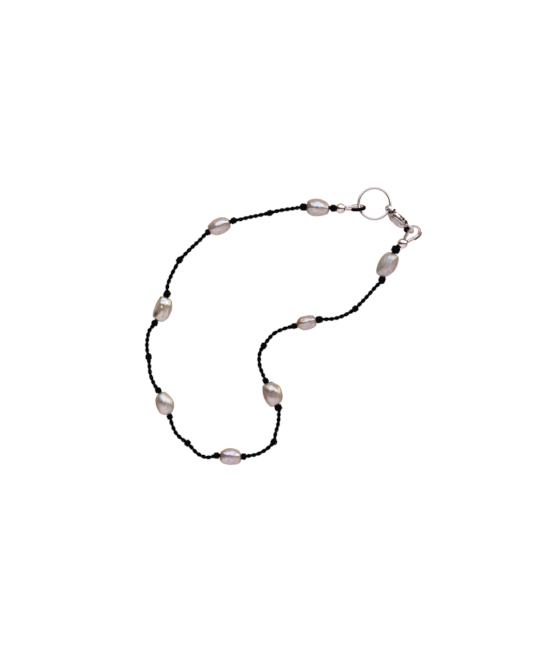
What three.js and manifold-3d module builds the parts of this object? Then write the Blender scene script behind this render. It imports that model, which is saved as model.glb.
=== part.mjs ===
// A knotted pearl anklet, fastened and lying on a flat surface.
//
// Eight baroque freshwater pearls sit on one black two-ply thread. A knot holds each pearl on both
// sides and one more knot stands half-way between neighbours. At each end the thread goes through
// a silver ball and round the groove of a U-shaped wire guardian. The left guardian holds a jump
// ring, the right one holds the tail eye of a lobster clasp, and the claw is hooked on the ring.
//
// Millimetres, +Z up. X and Y lie in the surface that the anklet rests on. The origin is the
// middle of the footprint, at the level of that surface.

import * as THREE from 'three';
import { mergeVertices } from 'three/addons/utils/BufferGeometryUtils.js';
import Module from 'manifold-3d';

const wasm = await Module();
wasm.setup();

// ---------------------------------------------------------------- driving dimensions

const THREAD_WIDTH = 1.0;          // two plies of 0.55 twisted together
const STRAND_WIDTH = 0.5;          // one ply, where it runs alone round a guardian
const STRAND_SIDES = 6;
const STRAND_STEPS = 22;
const STRANDS_PART = [0.2, 0.2];   // where the plies part inside the ball: along and off its axis
const STRANDS_LEAVE = [1.25, 0.27];    // and where they come out of it
const THREAD_SIDES = 8;
const THREAD_STEP = 2.8;           // length of one straight facet of the thread
const KNOT_LENGTH = 0.78;           // of a knot's width
const PEARL_BORE = 1.3;
const PEARL_REST_FLAT = 0.1;       // height of the flatter patch a pearl lies on
const THREAD_GAP = 0.6;            // between two thread stretches, hidden in a pearl's bore
const FINEST_FACET = 0.03;        // facets thinner than this are merged into their neighbours

const BALL_RADIUS = 1.45;
const BALL_BORE = 1.4;
const BORE_SIDES = 10;

const GUARDIAN_TUBE = 1.0;
const GUARDIAN_BORE = 0.72;
const GUARDIAN_START = 1.7;        // from the ball's middle to the mouths of the two tubes
const GUARDIAN_MOUTHS = 0.72;      // from the axis to the middle of each mouth
const GUARDIAN_BEND = 1.68;        // radius of the bend, on the tube's middle line
const GUARDIAN_BEND_AT = 5.05;     // from the ball's middle to the middle of the bend
const GUARDIAN_GROOVE = 3.5;       // from the ball's middle to where the tubes open into a groove

const RING_RADIUS = 4.66;          // on the wire's middle line
const RING_WIRE = 0.66;
const RING_SPOT = [27.75, 36.1, 1.92];
const RING_TILT = 18;              // its near side stands higher than its far side

const CLASP_SPOT = [37.85, 28.65, 2.75];   // middle of the tail eye
const CLASP_HEADING = 135.5;       // from the eye to the crown of the hook
const CLASP_STAND = 62;            // how far the lever side is turned up from lying flat
const CLASP_THICKNESS = 2.6;
const CLASP_EDGE = 0.3;            // rounding of the claw's edges
const HOOK_THICKNESS = 1.4;        // also the tail's
const TAIL_END = 0.8;              // along the claw from the eye: the tail,
const THICK_FROM = 2.0;            // where the body reaches its full thickness,
const THICK_TO = 4.3;              // where it starts to thin towards the hook
const THIN_FROM = 7.0;             // and from where the hook is thin
const EYE_RADIUS = 1.25;
const EYE_WIRE = 0.72;
const LEVER_THICKNESS = 0.9;
const LEVER_SIDE_GAP = 0.2;
const LEVER_SLOT = { tail: 1.8, hook: 5.4, floor: -0.3, top: 3.1 };
const PIVOT = [2.9, 0.85];
const PIVOT_PIN = 0.6;
const PIVOT_BORE = 0.84;
const PIN_SET_IN = 0.05;           // each end below the claw's cheek

// Pearls, in order along the thread from the jump ring's end to the clasp's end.
// spot: middle; turn: direction of the long axis; blunt: under 1 fuller ends, over 1 sharper;
// taper: how much fatter the far end is; waist: a shallow groove round the middle.
const PEARLS = [
  { spot: [11.0, 35.0], size: [6.9, 5.2, 5.0], turn: -4, blunt: 0.86, taper: -0.10, waist: 0.00 },
  { spot: [-18.1, 29.6], size: [6.9, 4.9, 4.7], turn: 26, blunt: 0.90, taper: 0.04, waist: 0.00 },
  { spot: [-35.6, 5.1], size: [7.5, 5.4, 5.2], turn: 72, blunt: 0.84, taper: 0.02, waist: 0.03 },
  { spot: [-34.6, -22.9], size: [7.0, 5.3, 5.2], turn: -67, blunt: 0.94, taper: 0.03, waist: 0.00 },
  { spot: [-15.1, -38.5], size: [6.5, 4.9, 4.6], turn: 1, blunt: 0.84, taper: -0.03, waist: 0.00 },
  { spot: [-2.8, -20.1], size: [7.3, 5.7, 5.4], turn: 116, blunt: 0.90, taper: -0.08, waist: 0.00 },
  { spot: [7.4, 0.9], size: [6.1, 4.3, 4.2], turn: 17, blunt: 0.82, taper: 0.00, waist: 0.03 },
  { spot: [31.6, 18.1], size: [7.9, 5.4, 5.2], turn: 58, blunt: 0.88, taper: 0.06, waist: 0.00 },
];

// Shallow dents of the pearls: which pearl, where on it (direction from its middle, in its own
// frame: x along the axis, y across, z up), how deep and how wide.
const DENTS = [
  { pearl: 1, toward: [0.7, 0.5, 0.5], depth: 0.16, spread: 0.10 },
  { pearl: 2, toward: [-0.3, 0.7, 0.6], depth: 0.12, spread: 0.16 },
  { pearl: 3, toward: [0.1, 0.9, 0.4], depth: 0.40, spread: 0.14 },
  { pearl: 3, toward: [-0.6, -0.4, 0.7], depth: 0.22, spread: 0.07 },
  { pearl: 4, toward: [0.2, -0.8, 0.6], depth: 0.12, spread: 0.20 },
  { pearl: 5, toward: [0.1, -0.95, 0.3], depth: 0.22, spread: 0.12 },
  { pearl: 6, toward: [0.1, 0.95, 0.3], depth: 0.30, spread: 0.20 },
  { pearl: 7, toward: [-0.4, -0.6, 0.7], depth: 0.14, spread: 0.12 },
  { pearl: 8, toward: [0.3, 0.5, 0.8], depth: 0.16, spread: 0.16 },
];

// Knots against the pearls: middle (x, y) and radius, before and after each pearl on the way
// from the ring's end to the clasp's end. They lie level with the pearl's bore.
const PEARL_KNOTS = [
  { before: [15.35, 34.9, 1.0], after: [6.6, 35.2, 0.95] },
  { before: [-14.2, 31.2, 0.92], after: [-21.8, 27.8, 0.88] },
  { before: [-33.9, 9.4, 1.05], after: [-37.5, 0.8, 0.92] },
  { before: [-36.5, -19.1, 0.92], after: [-33.1, -26.8, 0.88] },
  { before: [-19.2, -38.4, 0.92], after: [-11.2, -38.6, 0.92] },
  { before: [-0.9, -24.15, 1.05], after: [-4.7, -16.2, 0.88] },
  { before: [3.8, 0.0, 0.88], after: [11.2, 1.9, 1.05] },
  { before: [29.7, 13.6, 1.05], after: [33.75, 22.65, 1.2] },
];

// The thread from one pearl's knot to the next: the middle knot (x, y, z, radius) and the points
// that the thread passes on its way there and on from there.
const STRETCHES = [
  {
    way: [[3.6, 34.8, 2.2], [0.0, 34.3, 1.7], [-1.5, 34.0, 1.5]],
    knot: [-3.5, 33.5, 1.4, 0.88],
    on: [[-6.1, 32.9, 1.5], [-9.5, 32.2, 1.8], [-12.4, 31.5, 2.2]],
  },
  {
    way: [[-24.0, 25.6, 2.0], [-26.6, 23.2, 1.6], [-29.0, 20.8, 1.4]],
    knot: [-30.2, 19.5, 1.3, 0.95],
    on: [[-31.3, 17.6, 1.4], [-32.8, 14.6, 1.8], [-33.8, 11.6, 2.3]],
  },
  {
    way: [[-39.1, -1.3, 2.1], [-39.8, -4.4, 1.6], [-39.8, -7.2, 1.3]],
    knot: [-39.4, -9.1, 1.3, 0.95],
    on: [[-39.2, -11.1, 1.4], [-38.8, -14.4, 1.9], [-37.6, -17.4, 2.4]],
  },
  {
    way: [[-32.4, -29.2, 2.2], [-31.2, -31.8, 1.7], [-29.5, -33.5, 1.4]],
    knot: [-27.8, -34.7, 1.3, 0.95],
    on: [[-26.1, -36.6, 1.4], [-24.7, -37.9, 1.6], [-22.1, -38.9, 2.0]],
  },
  {
    way: [[-9.3, -38.4, 2.1], [-7.0, -37.9, 1.8], [-4.2, -36.3, 1.5]],
    knot: [-2.3, -34.3, 1.3, 0.92],
    on: [[-1.8, -31.9, 1.4], [-1.0, -28.9, 1.8], [-0.8, -26.1, 2.3]],
  },
  {
    way: [[-5.7, -13.9, 2.2], [-6.4, -11.9, 1.9], [-6.6, -9.2, 1.5], [-6.2, -7.4, 1.3]],
    knot: [-5.3, -5.9, 1.3, 0.92],
    on: [[-4.4, -4.6, 1.3], [-2.3, -2.3, 1.5], [0.5, -0.9, 1.8]],
  },
  {
    way: [[13.3, 2.0, 1.9], [15.7, 2.2, 1.6], [18.7, 3.2, 1.4]],
    knot: [21.8, 5.1, 1.3, 0.92],
    on: [[23.2, 6.5, 1.4], [25.4, 8.8, 1.8], [27.7, 11.4, 2.3]],
  },
];

// The two ends: middle of the silver ball, and how its guardian points, climbs and rolls over.
const ENDS = {
  ring: { ball: [17.65, 34.8, 2.1], heading: 1.5, climb: 3.5, roll: 108 },
  clasp: { ball: [35.8, 24.4, 2.58], heading: 45, climb: -5, roll: 20 },
};

// ---------------------------------------------------------------- finishes

const SILVER = { color: 0xd9d5d2, roughness: 0.12, metalness: 1.0 };
const THREAD = { color: 0x121113, roughness: 0.7, metalness: 0.0 };
const NACRE = { color: 0xcfc3c6, roughness: 0.28, metalness: 0.1 };

// ---------------------------------------------------------------- helpers

const radians = THREE.MathUtils.degToRad;
const UP_Y = new THREE.Vector3(0, 1, 0);

function toSolid(geometry) {
  const bare = geometry.clone();
  bare.deleteAttribute('normal');
  bare.deleteAttribute('uv');
  const merged = mergeVertices(bare, 1e-4);
  return new wasm.Manifold(new wasm.Mesh({
    numProp: 3,
    vertProperties: new Float32Array(merged.getAttribute('position').array),
    triVerts: new Uint32Array(merged.getIndex().array),
  }));
}

function toGeometry(solid) {
  const mesh = solid.getMesh();
  const geometry = new THREE.BufferGeometry();
  geometry.setAttribute('position', new THREE.BufferAttribute(mesh.vertProperties, 3));
  geometry.setIndex(new THREE.BufferAttribute(mesh.triVerts, 1));
  geometry.computeVertexNormals();
  return geometry;
}

// The simplifying takes away the hair-thin facets that are left where two shapes meet.
function join(geometries) {
  const whole = geometries.map(toSolid).reduce((sum, solid) => sum.add(solid));
  return toGeometry(whole.simplify(FINEST_FACET));
}

function cut(geometry, tools) {
  return toGeometry(tools.reduce((rest, tool) => rest.subtract(toSolid(tool)), toSolid(geometry)));
}

function piece(name, geometry, finish) {
  const mesh = new THREE.Mesh(geometry, new THREE.MeshStandardMaterial(finish));
  mesh.name = name;
  return mesh;
}

function polygon(width, sides) {
  const shape = new THREE.Shape();
  for (let side = 0; side < sides; side += 1) {
    const angle = (2 * Math.PI * (side + 0.5)) / sides;
    const spot = [(width / 2) * Math.cos(angle), (width / 2) * Math.sin(angle)];
    if (side === 0) shape.moveTo(...spot);
    else shape.lineTo(...spot);
  }
  shape.closePath();
  return shape;
}

function tube(curve, section, steps) {
  return new THREE.ExtrudeGeometry(section, { extrudePath: curve, steps, bevelEnabled: false });
}

function threadTube(points, width) {
  const curve = new THREE.CatmullRomCurve3(points, false, 'centripetal');
  const steps = Math.ceil(curve.getLength() / THREAD_STEP);
  return tube(curve, polygon(width, THREAD_SIDES), steps);
}

// A knot is drawn tight, so it is shorter along the thread than across it.
function knot(spot, radius, along) {
  const ball = new THREE.SphereGeometry(radius, 8, 5);
  ball.scale(1, KNOT_LENGTH, 0.94);
  ball.applyQuaternion(new THREE.Quaternion().setFromUnitVectors(UP_Y, along.clone().normalize()));
  ball.translate(spot.x, spot.y, spot.z);
  return ball;
}

function rod(from, to, width, sides) {
  const length = from.distanceTo(to);
  const cylinder = new THREE.CylinderGeometry(width / 2, width / 2, length, sides);
  const along = to.clone().sub(from).normalize();
  cylinder.applyQuaternion(new THREE.Quaternion().setFromUnitVectors(UP_Y, along));
  const middle = from.clone().add(to).multiplyScalar(0.5);
  cylinder.translate(middle.x, middle.y, middle.z);
  return cylinder;
}

// ---------------------------------------------------------------- pearls

function pearlSurface(number) {
  const { size, blunt, taper, waist } = PEARLS[number - 1];
  const dents = DENTS.filter((dent) => dent.pearl === number);
  const ball = new THREE.SphereGeometry(1, 16, 10);
  ball.rotateZ(-Math.PI / 2);
  const places = ball.getAttribute('position');
  const way = new THREE.Vector3();
  for (let index = 0; index < places.count; index += 1) {
    way.fromBufferAttribute(places, index).normalize();
    const round = Math.sqrt(Math.max(1 - way.x * way.x, 0));
    const fullness = round > 0 ? (round ** blunt / round) * (1 + taper * way.x) : 1;
    const neck = 1 - waist * Math.exp(-((way.x / 0.3) ** 2));
    const spot = new THREE.Vector3(way.x, way.y * fullness * neck, way.z * fullness * neck);
    spot.multiply(new THREE.Vector3(size[0] / 2, size[1] / 2, size[2] / 2));
    for (const { toward, depth, spread } of dents) {
      const nearness = way.dot(new THREE.Vector3(...toward).normalize());
      spot.addScaledVector(way, -depth * Math.exp((nearness - 1) / spread));
    }
    places.setXYZ(index, spot.x, spot.y, spot.z);
  }
  return ball;
}

// Each pearl lies on the surface on a small flatter patch.
const pearlHeights = PEARLS.map((row, index) => {
  const surface = pearlSurface(index + 1);
  surface.computeBoundingBox();
  return -surface.boundingBox.min.z - PEARL_REST_FLAT;
});

function pearlMiddle(number) {
  return new THREE.Vector3(...PEARLS[number - 1].spot, pearlHeights[number - 1]);
}

function knotSpot(number, side) {
  const [x, y] = PEARL_KNOTS[number - 1][side];
  return new THREE.Vector3(x, y, pearlHeights[number - 1]);
}

function pearl(number) {
  const { size, turn } = PEARLS[number - 1];
  const middle = pearlMiddle(number);
  const holder = new THREE.Object3D();
  holder.position.copy(middle);
  holder.rotation.z = radians(turn);
  holder.updateMatrixWorld();
  const [start, end] = ['before', 'after'].map((side) => holder.worldToLocal(knotSpot(number, side)));
  const bore = rod(start, end, PEARL_BORE, BORE_SIDES);
  const below = new THREE.BoxGeometry(size[0], size[0], 1);
  below.translate(0, 0, -middle.z - 0.5);
  const mesh = piece(`pearl_${number}`, cut(pearlSurface(number), [bore, below]), NACRE);
  mesh.position.copy(middle);
  mesh.rotation.z = radians(turn);
  return mesh;
}

// ---------------------------------------------------------------- thread

function boreDirection(number) {
  return knotSpot(number, 'after').sub(knotSpot(number, 'before'));
}

function boreMiddle(number, towards) {
  const start = knotSpot(number, 'before');
  const end = knotSpot(number, 'after');
  const middle = start.clone().add(end).multiplyScalar(0.5);
  const side = (towards === 'after' ? end : start).sub(middle).normalize();
  return middle.addScaledVector(side, THREAD_GAP / 2);
}

function threadStretch(number) {
  const { way, knot: middleKnot, on } = STRETCHES[number - 1];
  const leaving = knotSpot(number, 'after');
  const arriving = knotSpot(number + 1, 'before');
  const middle = new THREE.Vector3(...middleKnot.slice(0, 3));
  const points = [
    boreMiddle(number, 'after'),
    leaving,
    ...way.map((spot) => new THREE.Vector3(...spot)),
    middle,
    ...on.map((spot) => new THREE.Vector3(...spot)),
    arriving,
    boreMiddle(number + 1, 'before'),
  ];
  const before = points[points.indexOf(middle) - 1];
  const after = points[points.indexOf(middle) + 1];
  const solid = join([
    threadTube(points, THREAD_WIDTH),
    knot(leaving, PEARL_KNOTS[number - 1].after[2], boreDirection(number)),
    knot(middle, middleKnot[3], after.clone().sub(before)),
    knot(arriving, PEARL_KNOTS[number].before[2], boreDirection(number + 1)),
  ]);
  return piece(`thread_${number}`, solid, THREAD);
}

// ---------------------------------------------------------------- ball, guardian, end loop

function endFrame(end) {
  const { ball, heading, climb, roll } = ENDS[end];
  const frame = new THREE.Group();
  frame.position.set(...ball);
  frame.rotation.set(radians(roll), -radians(climb), radians(heading), 'ZYX');
  frame.updateMatrixWorld();
  return frame;
}

// The U: from one mouth beside the ball, along its leg, round the bend and back to the other mouth.
function guardianPath() {
  const spots = [new THREE.Vector3(GUARDIAN_START, GUARDIAN_MOUTHS, 0)];
  for (let angle = 100; angle >= -100; angle -= 25) {
    const x = GUARDIAN_BEND_AT + GUARDIAN_BEND * Math.cos(radians(angle));
    const y = GUARDIAN_BEND * Math.sin(radians(angle));
    spots.push(new THREE.Vector3(x, y, 0));
  }
  spots.push(new THREE.Vector3(GUARDIAN_START, -GUARDIAN_MOUTHS, 0));
  return new THREE.CatmullRomCurve3(spots, false, 'centripetal');
}

// What is open to the outside past the tubes: everything beyond the middle line of the U.
function grooveOutline() {
  const inner = guardianPath().getPoints(40).filter((spot) => spot.x > GUARDIAN_GROOVE);
  const centre = new THREE.Vector3(GUARDIAN_GROOVE, 0, 0);
  const outer = inner.map((spot) => spot.clone().sub(centre).multiplyScalar(2).add(centre));
  const corners = [...inner, ...outer.reverse()];
  return new THREE.Shape(corners.map((spot) => new THREE.Vector2(spot.x, spot.y)));
}

function guardian() {
  const section = polygon(GUARDIAN_TUBE, 8);
  section.holes.push(polygon(GUARDIAN_BORE, 8));
  const whole = tube(guardianPath(), section, 16);
  const reach = GUARDIAN_TUBE;
  const opening = new THREE.ExtrudeGeometry(grooveOutline(), { depth: 2 * reach, bevelEnabled: false });
  opening.translate(0, 0, -reach);
  return cut(whole, [opening]);
}

function silverBall() {
  const ball = new THREE.SphereGeometry(BALL_RADIUS, 16, 10);
  const reach = 2 * BALL_RADIUS;
  const bore = rod(new THREE.Vector3(-reach, 0, 0), new THREE.Vector3(reach, 0, 0), BALL_BORE, BORE_SIDES);
  return cut(ball, [bore]);
}

// Thread of one end: from the last pearl's bore through the knot to the middle of the ball, then
// on as a single strand round the guardian's groove and back to the ball.
function endThread(end, number, side) {
  const frame = endFrame(end);
  const enters = frame.localToWorld(new THREE.Vector3(-BALL_RADIUS, 0, 0));
  const parts = frame.localToWorld(new THREE.Vector3(STRANDS_PART[0] + STRAND_WIDTH, 0, 0));
  const knotMiddle = knotSpot(number, side);
  const loop = new THREE.CatmullRomCurve3(
    [
      new THREE.Vector3(...STRANDS_PART, 0),
      new THREE.Vector3(...STRANDS_LEAVE, 0),
      ...guardianPath().getPoints(16),
      new THREE.Vector3(STRANDS_LEAVE[0], -STRANDS_LEAVE[1], 0),
      new THREE.Vector3(STRANDS_PART[0], -STRANDS_PART[1], 0),
    ].map((spot) => frame.localToWorld(spot)),
    false,
    'centripetal',
  );
  return join([
    threadTube([boreMiddle(number, side), knotMiddle, enters, parts], THREAD_WIDTH),
    knot(knotMiddle, PEARL_KNOTS[number - 1][side][2], boreDirection(number)),
    tube(loop, polygon(STRAND_WIDTH, STRAND_SIDES), STRAND_STEPS),
  ]);
}

// ---------------------------------------------------------------- jump ring

function jumpRing() {
  const ring = new THREE.TorusGeometry(RING_RADIUS, RING_WIRE / 2, 8, 36);
  const mesh = piece('jump_ring', ring, SILVER);
  mesh.position.set(...RING_SPOT);
  mesh.rotation.x = -radians(RING_TILT);
  return mesh;
}

// ---------------------------------------------------------------- lobster clasp

// Claw seen flat: x from the eye to the crown, y across, the lever's side positive.
function clawOutline() {
  const outline = new THREE.Shape();
  outline.moveTo(0.95, -0.42);
  outline.bezierCurveTo(1.7, -0.8, 2.5, -2.0, 4.1, -2.3);
  outline.bezierCurveTo(5.6, -2.5, 7.9, -2.2, 9.15, -1.35);
  outline.bezierCurveTo(10.1, -0.7, 10.35, 0.7, 9.55, 1.4);
  outline.bezierCurveTo(8.9, 2.0, 7.8, 2.1, 6.75, 2.0);
  outline.lineTo(7.1, 1.15);
  outline.bezierCurveTo(7.9, 1.25, 8.65, 1.1, 8.95, 0.35);
  outline.bezierCurveTo(9.2, -0.5, 8.1, -1.15, 6.8, -1.2);
  outline.bezierCurveTo(5.5, -1.25, 4.6, -1.0, 4.3, -0.2);
  outline.lineTo(4.2, 1.5);
  outline.bezierCurveTo(3.9, 1.9, 3.0, 1.95, 2.3, 1.6);
  outline.bezierCurveTo(1.7, 1.3, 1.6, 0.8, 0.95, 0.42);
  outline.closePath();
  return outline;
}

function leverOutline() {
  const outline = new THREE.Shape();
  outline.moveTo(2.2, 0.8);
  outline.bezierCurveTo(2.2, 0.3, 2.7, 0.1, 3.2, 0.2);
  outline.bezierCurveTo(4.0, 0.4, 5.2, 1.05, 6.85, 1.15);
  outline.lineTo(6.5, 2.0);
  outline.bezierCurveTo(5.8, 2.05, 5.1, 1.9, 4.5, 2.1);
  outline.bezierCurveTo(4.4, 2.6, 4.1, 2.8, 3.6, 2.75);
  outline.bezierCurveTo(3.2, 2.65, 3.4, 2.1, 3.1, 1.55);
  outline.bezierCurveTo(2.5, 1.5, 2.2, 1.3, 2.2, 0.8);
  const hole = new THREE.Path();
  hole.absarc(...PIVOT, PIVOT_BORE / 2, 0, 2 * Math.PI, true);
  outline.holes.push(hole);
  return outline;
}

function slab(outline, thickness, edge, curveSegments) {
  const solid = new THREE.ExtrudeGeometry(outline, {
    depth: thickness - 2 * edge,
    bevelEnabled: edge > 0,
    bevelThickness: edge,
    bevelSize: edge,
    bevelOffset: -edge,
    bevelSegments: 2,
    curveSegments,
  });
  solid.translate(0, 0, -thickness / 2 + edge);
  return solid;
}

// The claw is thickest at the pivot and thinner at its hook and its tail.
function thinTowardsEnds(geometry) {
  const places = geometry.getAttribute('position');
  for (let index = 0; index < places.count; index += 1) {
    const x = places.getX(index);
    const hook = THREE.MathUtils.smoothstep(x, THICK_TO, THIN_FROM);
    const tail = THREE.MathUtils.smoothstep(-x, -THICK_FROM, -TAIL_END);
    const thickness = 1 - (1 - HOOK_THICKNESS / CLASP_THICKNESS) * Math.max(hook, tail);
    places.setZ(index, places.getZ(index) * thickness);
  }
}

function acrossPivot(reach, width) {
  const [x, y] = PIVOT;
  return rod(new THREE.Vector3(x, y, -reach), new THREE.Vector3(x, y, reach), width, BORE_SIDES);
}

function claw() {
  const body = slab(clawOutline(), CLASP_THICKNESS, CLASP_EDGE, 4);
  thinTowardsEnds(body);
  const eye = new THREE.TorusGeometry(EYE_RADIUS, EYE_WIRE / 2, 8, 16);
  const { tail, hook, floor, top } = LEVER_SLOT;
  const slot = new THREE.BoxGeometry(hook - tail, top - floor, LEVER_THICKNESS + 2 * LEVER_SIDE_GAP);
  slot.translate((tail + hook) / 2, (floor + top) / 2, 0);
  return cut(join([body, eye]), [slot, acrossPivot(CLASP_THICKNESS, PIVOT_BORE)]);
}

function clasp() {
  const heading = radians(CLASP_HEADING);
  const stand = radians(CLASP_STAND);
  const along = new THREE.Vector3(Math.cos(heading), Math.sin(heading), 0);
  const level = new THREE.Vector3(Math.sin(heading), -Math.cos(heading), 0);
  const across = level.multiplyScalar(Math.cos(stand)).add(new THREE.Vector3(0, 0, Math.sin(stand)));
  const through = along.clone().cross(across);
  const group = new THREE.Group();
  group.position.set(...CLASP_SPOT);
  group.quaternion.setFromRotationMatrix(new THREE.Matrix4().makeBasis(along, across, through));
  group.add(piece('clasp_claw', claw(), SILVER));
  group.add(piece('clasp_lever', slab(leverOutline(), LEVER_THICKNESS, 0, 5), SILVER));
  const pin = acrossPivot(CLASP_THICKNESS / 2 - PIN_SET_IN, PIVOT_PIN);
  group.add(piece('clasp_pin', pin, SILVER));
  return group;
}

// ---------------------------------------------------------------- the whole anklet

const anklet = new THREE.Group();
PEARLS.forEach((row, index) => anklet.add(pearl(index + 1)));
STRETCHES.forEach((row, index) => anklet.add(threadStretch(index + 1)));
anklet.add(piece('thread_ring_end', endThread('ring', 1, 'before'), THREAD));
anklet.add(piece('thread_clasp_end', endThread('clasp', PEARLS.length, 'after'), THREAD));
for (const end of Object.keys(ENDS)) {
  const frame = endFrame(end);
  frame.add(piece(`ball_${end}_end`, silverBall(), SILVER));
  frame.add(piece(`guardian_${end}_end`, guardian(), SILVER));
  anklet.add(frame);
}
anklet.add(jumpRing());
anklet.add(clasp());

const bounds = new THREE.Box3().setFromObject(anklet, true);
const middle = bounds.getCenter(new THREE.Vector3());
anklet.position.set(-middle.x, -middle.y, -bounds.min.z);

export default anklet;
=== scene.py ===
"""The looks of the knotted pearl anklet: eight baroque freshwater pearls on a black two-ply
thread, knotted on both sides of each pearl and half-way between them. At both ends the thread goes
through a silver ball and round a wire guardian, and a lobster clasp is hooked on a jump ring."""

import math
import random

import bpy
import numpy as np
from mathutils import Matrix, Vector, noise


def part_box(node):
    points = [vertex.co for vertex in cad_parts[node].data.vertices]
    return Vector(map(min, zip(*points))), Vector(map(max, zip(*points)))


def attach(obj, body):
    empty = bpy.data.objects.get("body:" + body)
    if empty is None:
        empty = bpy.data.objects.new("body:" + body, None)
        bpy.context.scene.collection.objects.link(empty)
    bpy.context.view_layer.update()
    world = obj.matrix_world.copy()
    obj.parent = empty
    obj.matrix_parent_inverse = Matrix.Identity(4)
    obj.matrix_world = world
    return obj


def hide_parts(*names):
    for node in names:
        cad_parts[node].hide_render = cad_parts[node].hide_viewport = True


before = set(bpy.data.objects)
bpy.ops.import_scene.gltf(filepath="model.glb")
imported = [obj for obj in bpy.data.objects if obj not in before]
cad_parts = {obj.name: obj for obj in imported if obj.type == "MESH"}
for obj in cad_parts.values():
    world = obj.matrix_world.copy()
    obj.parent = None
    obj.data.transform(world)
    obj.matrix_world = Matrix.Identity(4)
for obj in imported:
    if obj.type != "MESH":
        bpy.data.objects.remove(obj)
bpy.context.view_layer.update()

MM = 0.001

# ------------------------------------------------------------------ sizes, in millimetres

THREAD_PLY = (0.315, 0.33)      # half a ply's thickness: outwards, and sideways where it is pressed
PLY_OFFSET = 0.32               # of each ply from the middle of the thread
LAY_LENGTH = 3.15               # one whole turn of the plies round each other
YARNS = 5                       # fine yarns that show on a ply's surface
YARN_TWIST = -3.4               # radians that they turn round it in a millimetre
RING_STEP = 0.13                # between two rings of a ply's mesh
BORE_GAP = 0.6                  # between two threads, hidden inside a pearl

KNOT_FULL = 1.10                # a soft thread's knot against the plain one of the same size
KNOT_STRAND = 0.39              # half its strands' thickness, as a share of its radius, and so on:
KNOT_REACH = 0.47               # half the length of its twist
KNOT_SPREAD = 0.57              # from its middle line to its strands
KNOT_TAIL = 1.2                 # from its middle to where its ends are thread again

# The thread round a guardian is one soft ply: half its thickness outwards and sideways, how far it
# stands out of the groove at the sides and round the bend, and how far the clasp's eye lifts it.
GROOVE_THREAD = {"ring": (0.52, 0.54), "clasp": (0.42, 0.50)}
GROOVE_PROUD = {"ring": (0.25, 0.26), "clasp": (0.28, -0.13)}
GROOVE_LIFT = {"ring": (0.0, 0.0, 0.0), "clasp": (-0.80, 0.22, 0.30)}
TUBE_THREAD = 0.30              # the same ply inside the tubes
TUBE_TWIST = -3.0
EYE_CROSSES = 3.95              # from the ball's middle
EYE_REACH = 0.8

PEARL_BORE = 0.62               # radius
PEARL_LIP = 0.72
PEARL_MOUTH = [(0.03, 0.66), (0.09, 0.63), (0.25, PEARL_BORE)]    # how deep, and radius there
PEARL_SIDES = 72
PEARL_RINGS = 88
LYING_HEIGHT = 0.4              # below this a pearl is pressed a little flat

BALL_RADIUS = 1.52
BALL_BORE = 0.66
BALL_LIP = 0.06
BALL_SIDES = 80

GUARDIAN_OUTSIDE = 0.5
GUARDIAN_INSIDE = 0.36
GUARDIAN_START = 1.52
GUARDIAN_MOUTHS = 0.72
GUARDIAN_BEND = 1.68
GUARDIAN_BEND_AT = 5.05
GUARDIAN_GROOVE = 3.5           # from the ball's middle to where the groove opens
TUBE_EDGE = 0.03                # bevel of a cut tube's edge
TUBE_SIDES = 36
GROOVE_OPEN = 64                # degrees to each side of straight out, where the tube is cut away
STRANDS_PART = (0.2, 0.2)
STRANDS_LEAVE = (1.25, 0.27)

RING_RADIUS = 4.68
RING_WIRE = 0.37
RING_SPOT = (27.75, 36.1, 1.92)
RING_HANGS = ((27.49, 36.22, 1.95), 9)   # its middle, and its tilt in degrees
RING_STEPS = 260                # round it, and round its wire
RING_SIDES = 28
RING_SEAM_AT = 62               # degrees round from +X
RING_SEAM = 0.05
RING_CUT_EDGE = 0.03            # bevel of its cut ends
RING_PROUD = 0.05               # one end above the other, as in a ring that is closed by hand

CLASP_SPOT = (37.85, 28.65, 2.75)
CLASP_HEADING = 135.5
CLASP_STAND = 62
CLASP_THICKNESS = 2.35
CLASP_ASIDE = -0.15             # the casting is a little thicker on its lower side
CLAW_EDGE = 0.44                # how far its edges are rounded
HOOK_THICKNESS = 1.15           # of its two ends, which thin out between these places along it
TAIL_END = 0.8
THICK_FROM = 2.0
THICK_TO = 5.8
THIN_FROM = 8.2
EYE_RADIUS = 1.25
EYE_WIRE = 0.36
EYE_STEPS = 96                  # round it, and round its wire
EYE_SIDES = 24
PIVOT = (2.9, 0.85)
LEVER_THICKNESS = 0.88
LEVER_ASIDE = -0.16
LEVER_EDGE = 0.12
LEVER_SLOT = [
    (1.8, -0.3), (3.6, -0.4), (5.0, -0.8), (6.5, -1.08), (7.6, -1.0),
    (7.6, 0.40), (6.95, 0.52), (6.66, 1.50), (6.66, 3.1), (1.8, 3.1),
]
LEVER_SLOT_SIDES = (-0.63, 0.54)
RIVET_RADIUS = 0.27
RIVET_PLAY = 0.04               # round it, in the lever and the claw
RIVET_DOME = 0.12               # height of its peened ends
RIVET_SUNK = 0.10               # how far they stay below the claw's thickest part
CLAW_GRAIN = 0.06               # size of the smallest detail that a casting keeps
LEVER_GRAIN = 0.045

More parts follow.
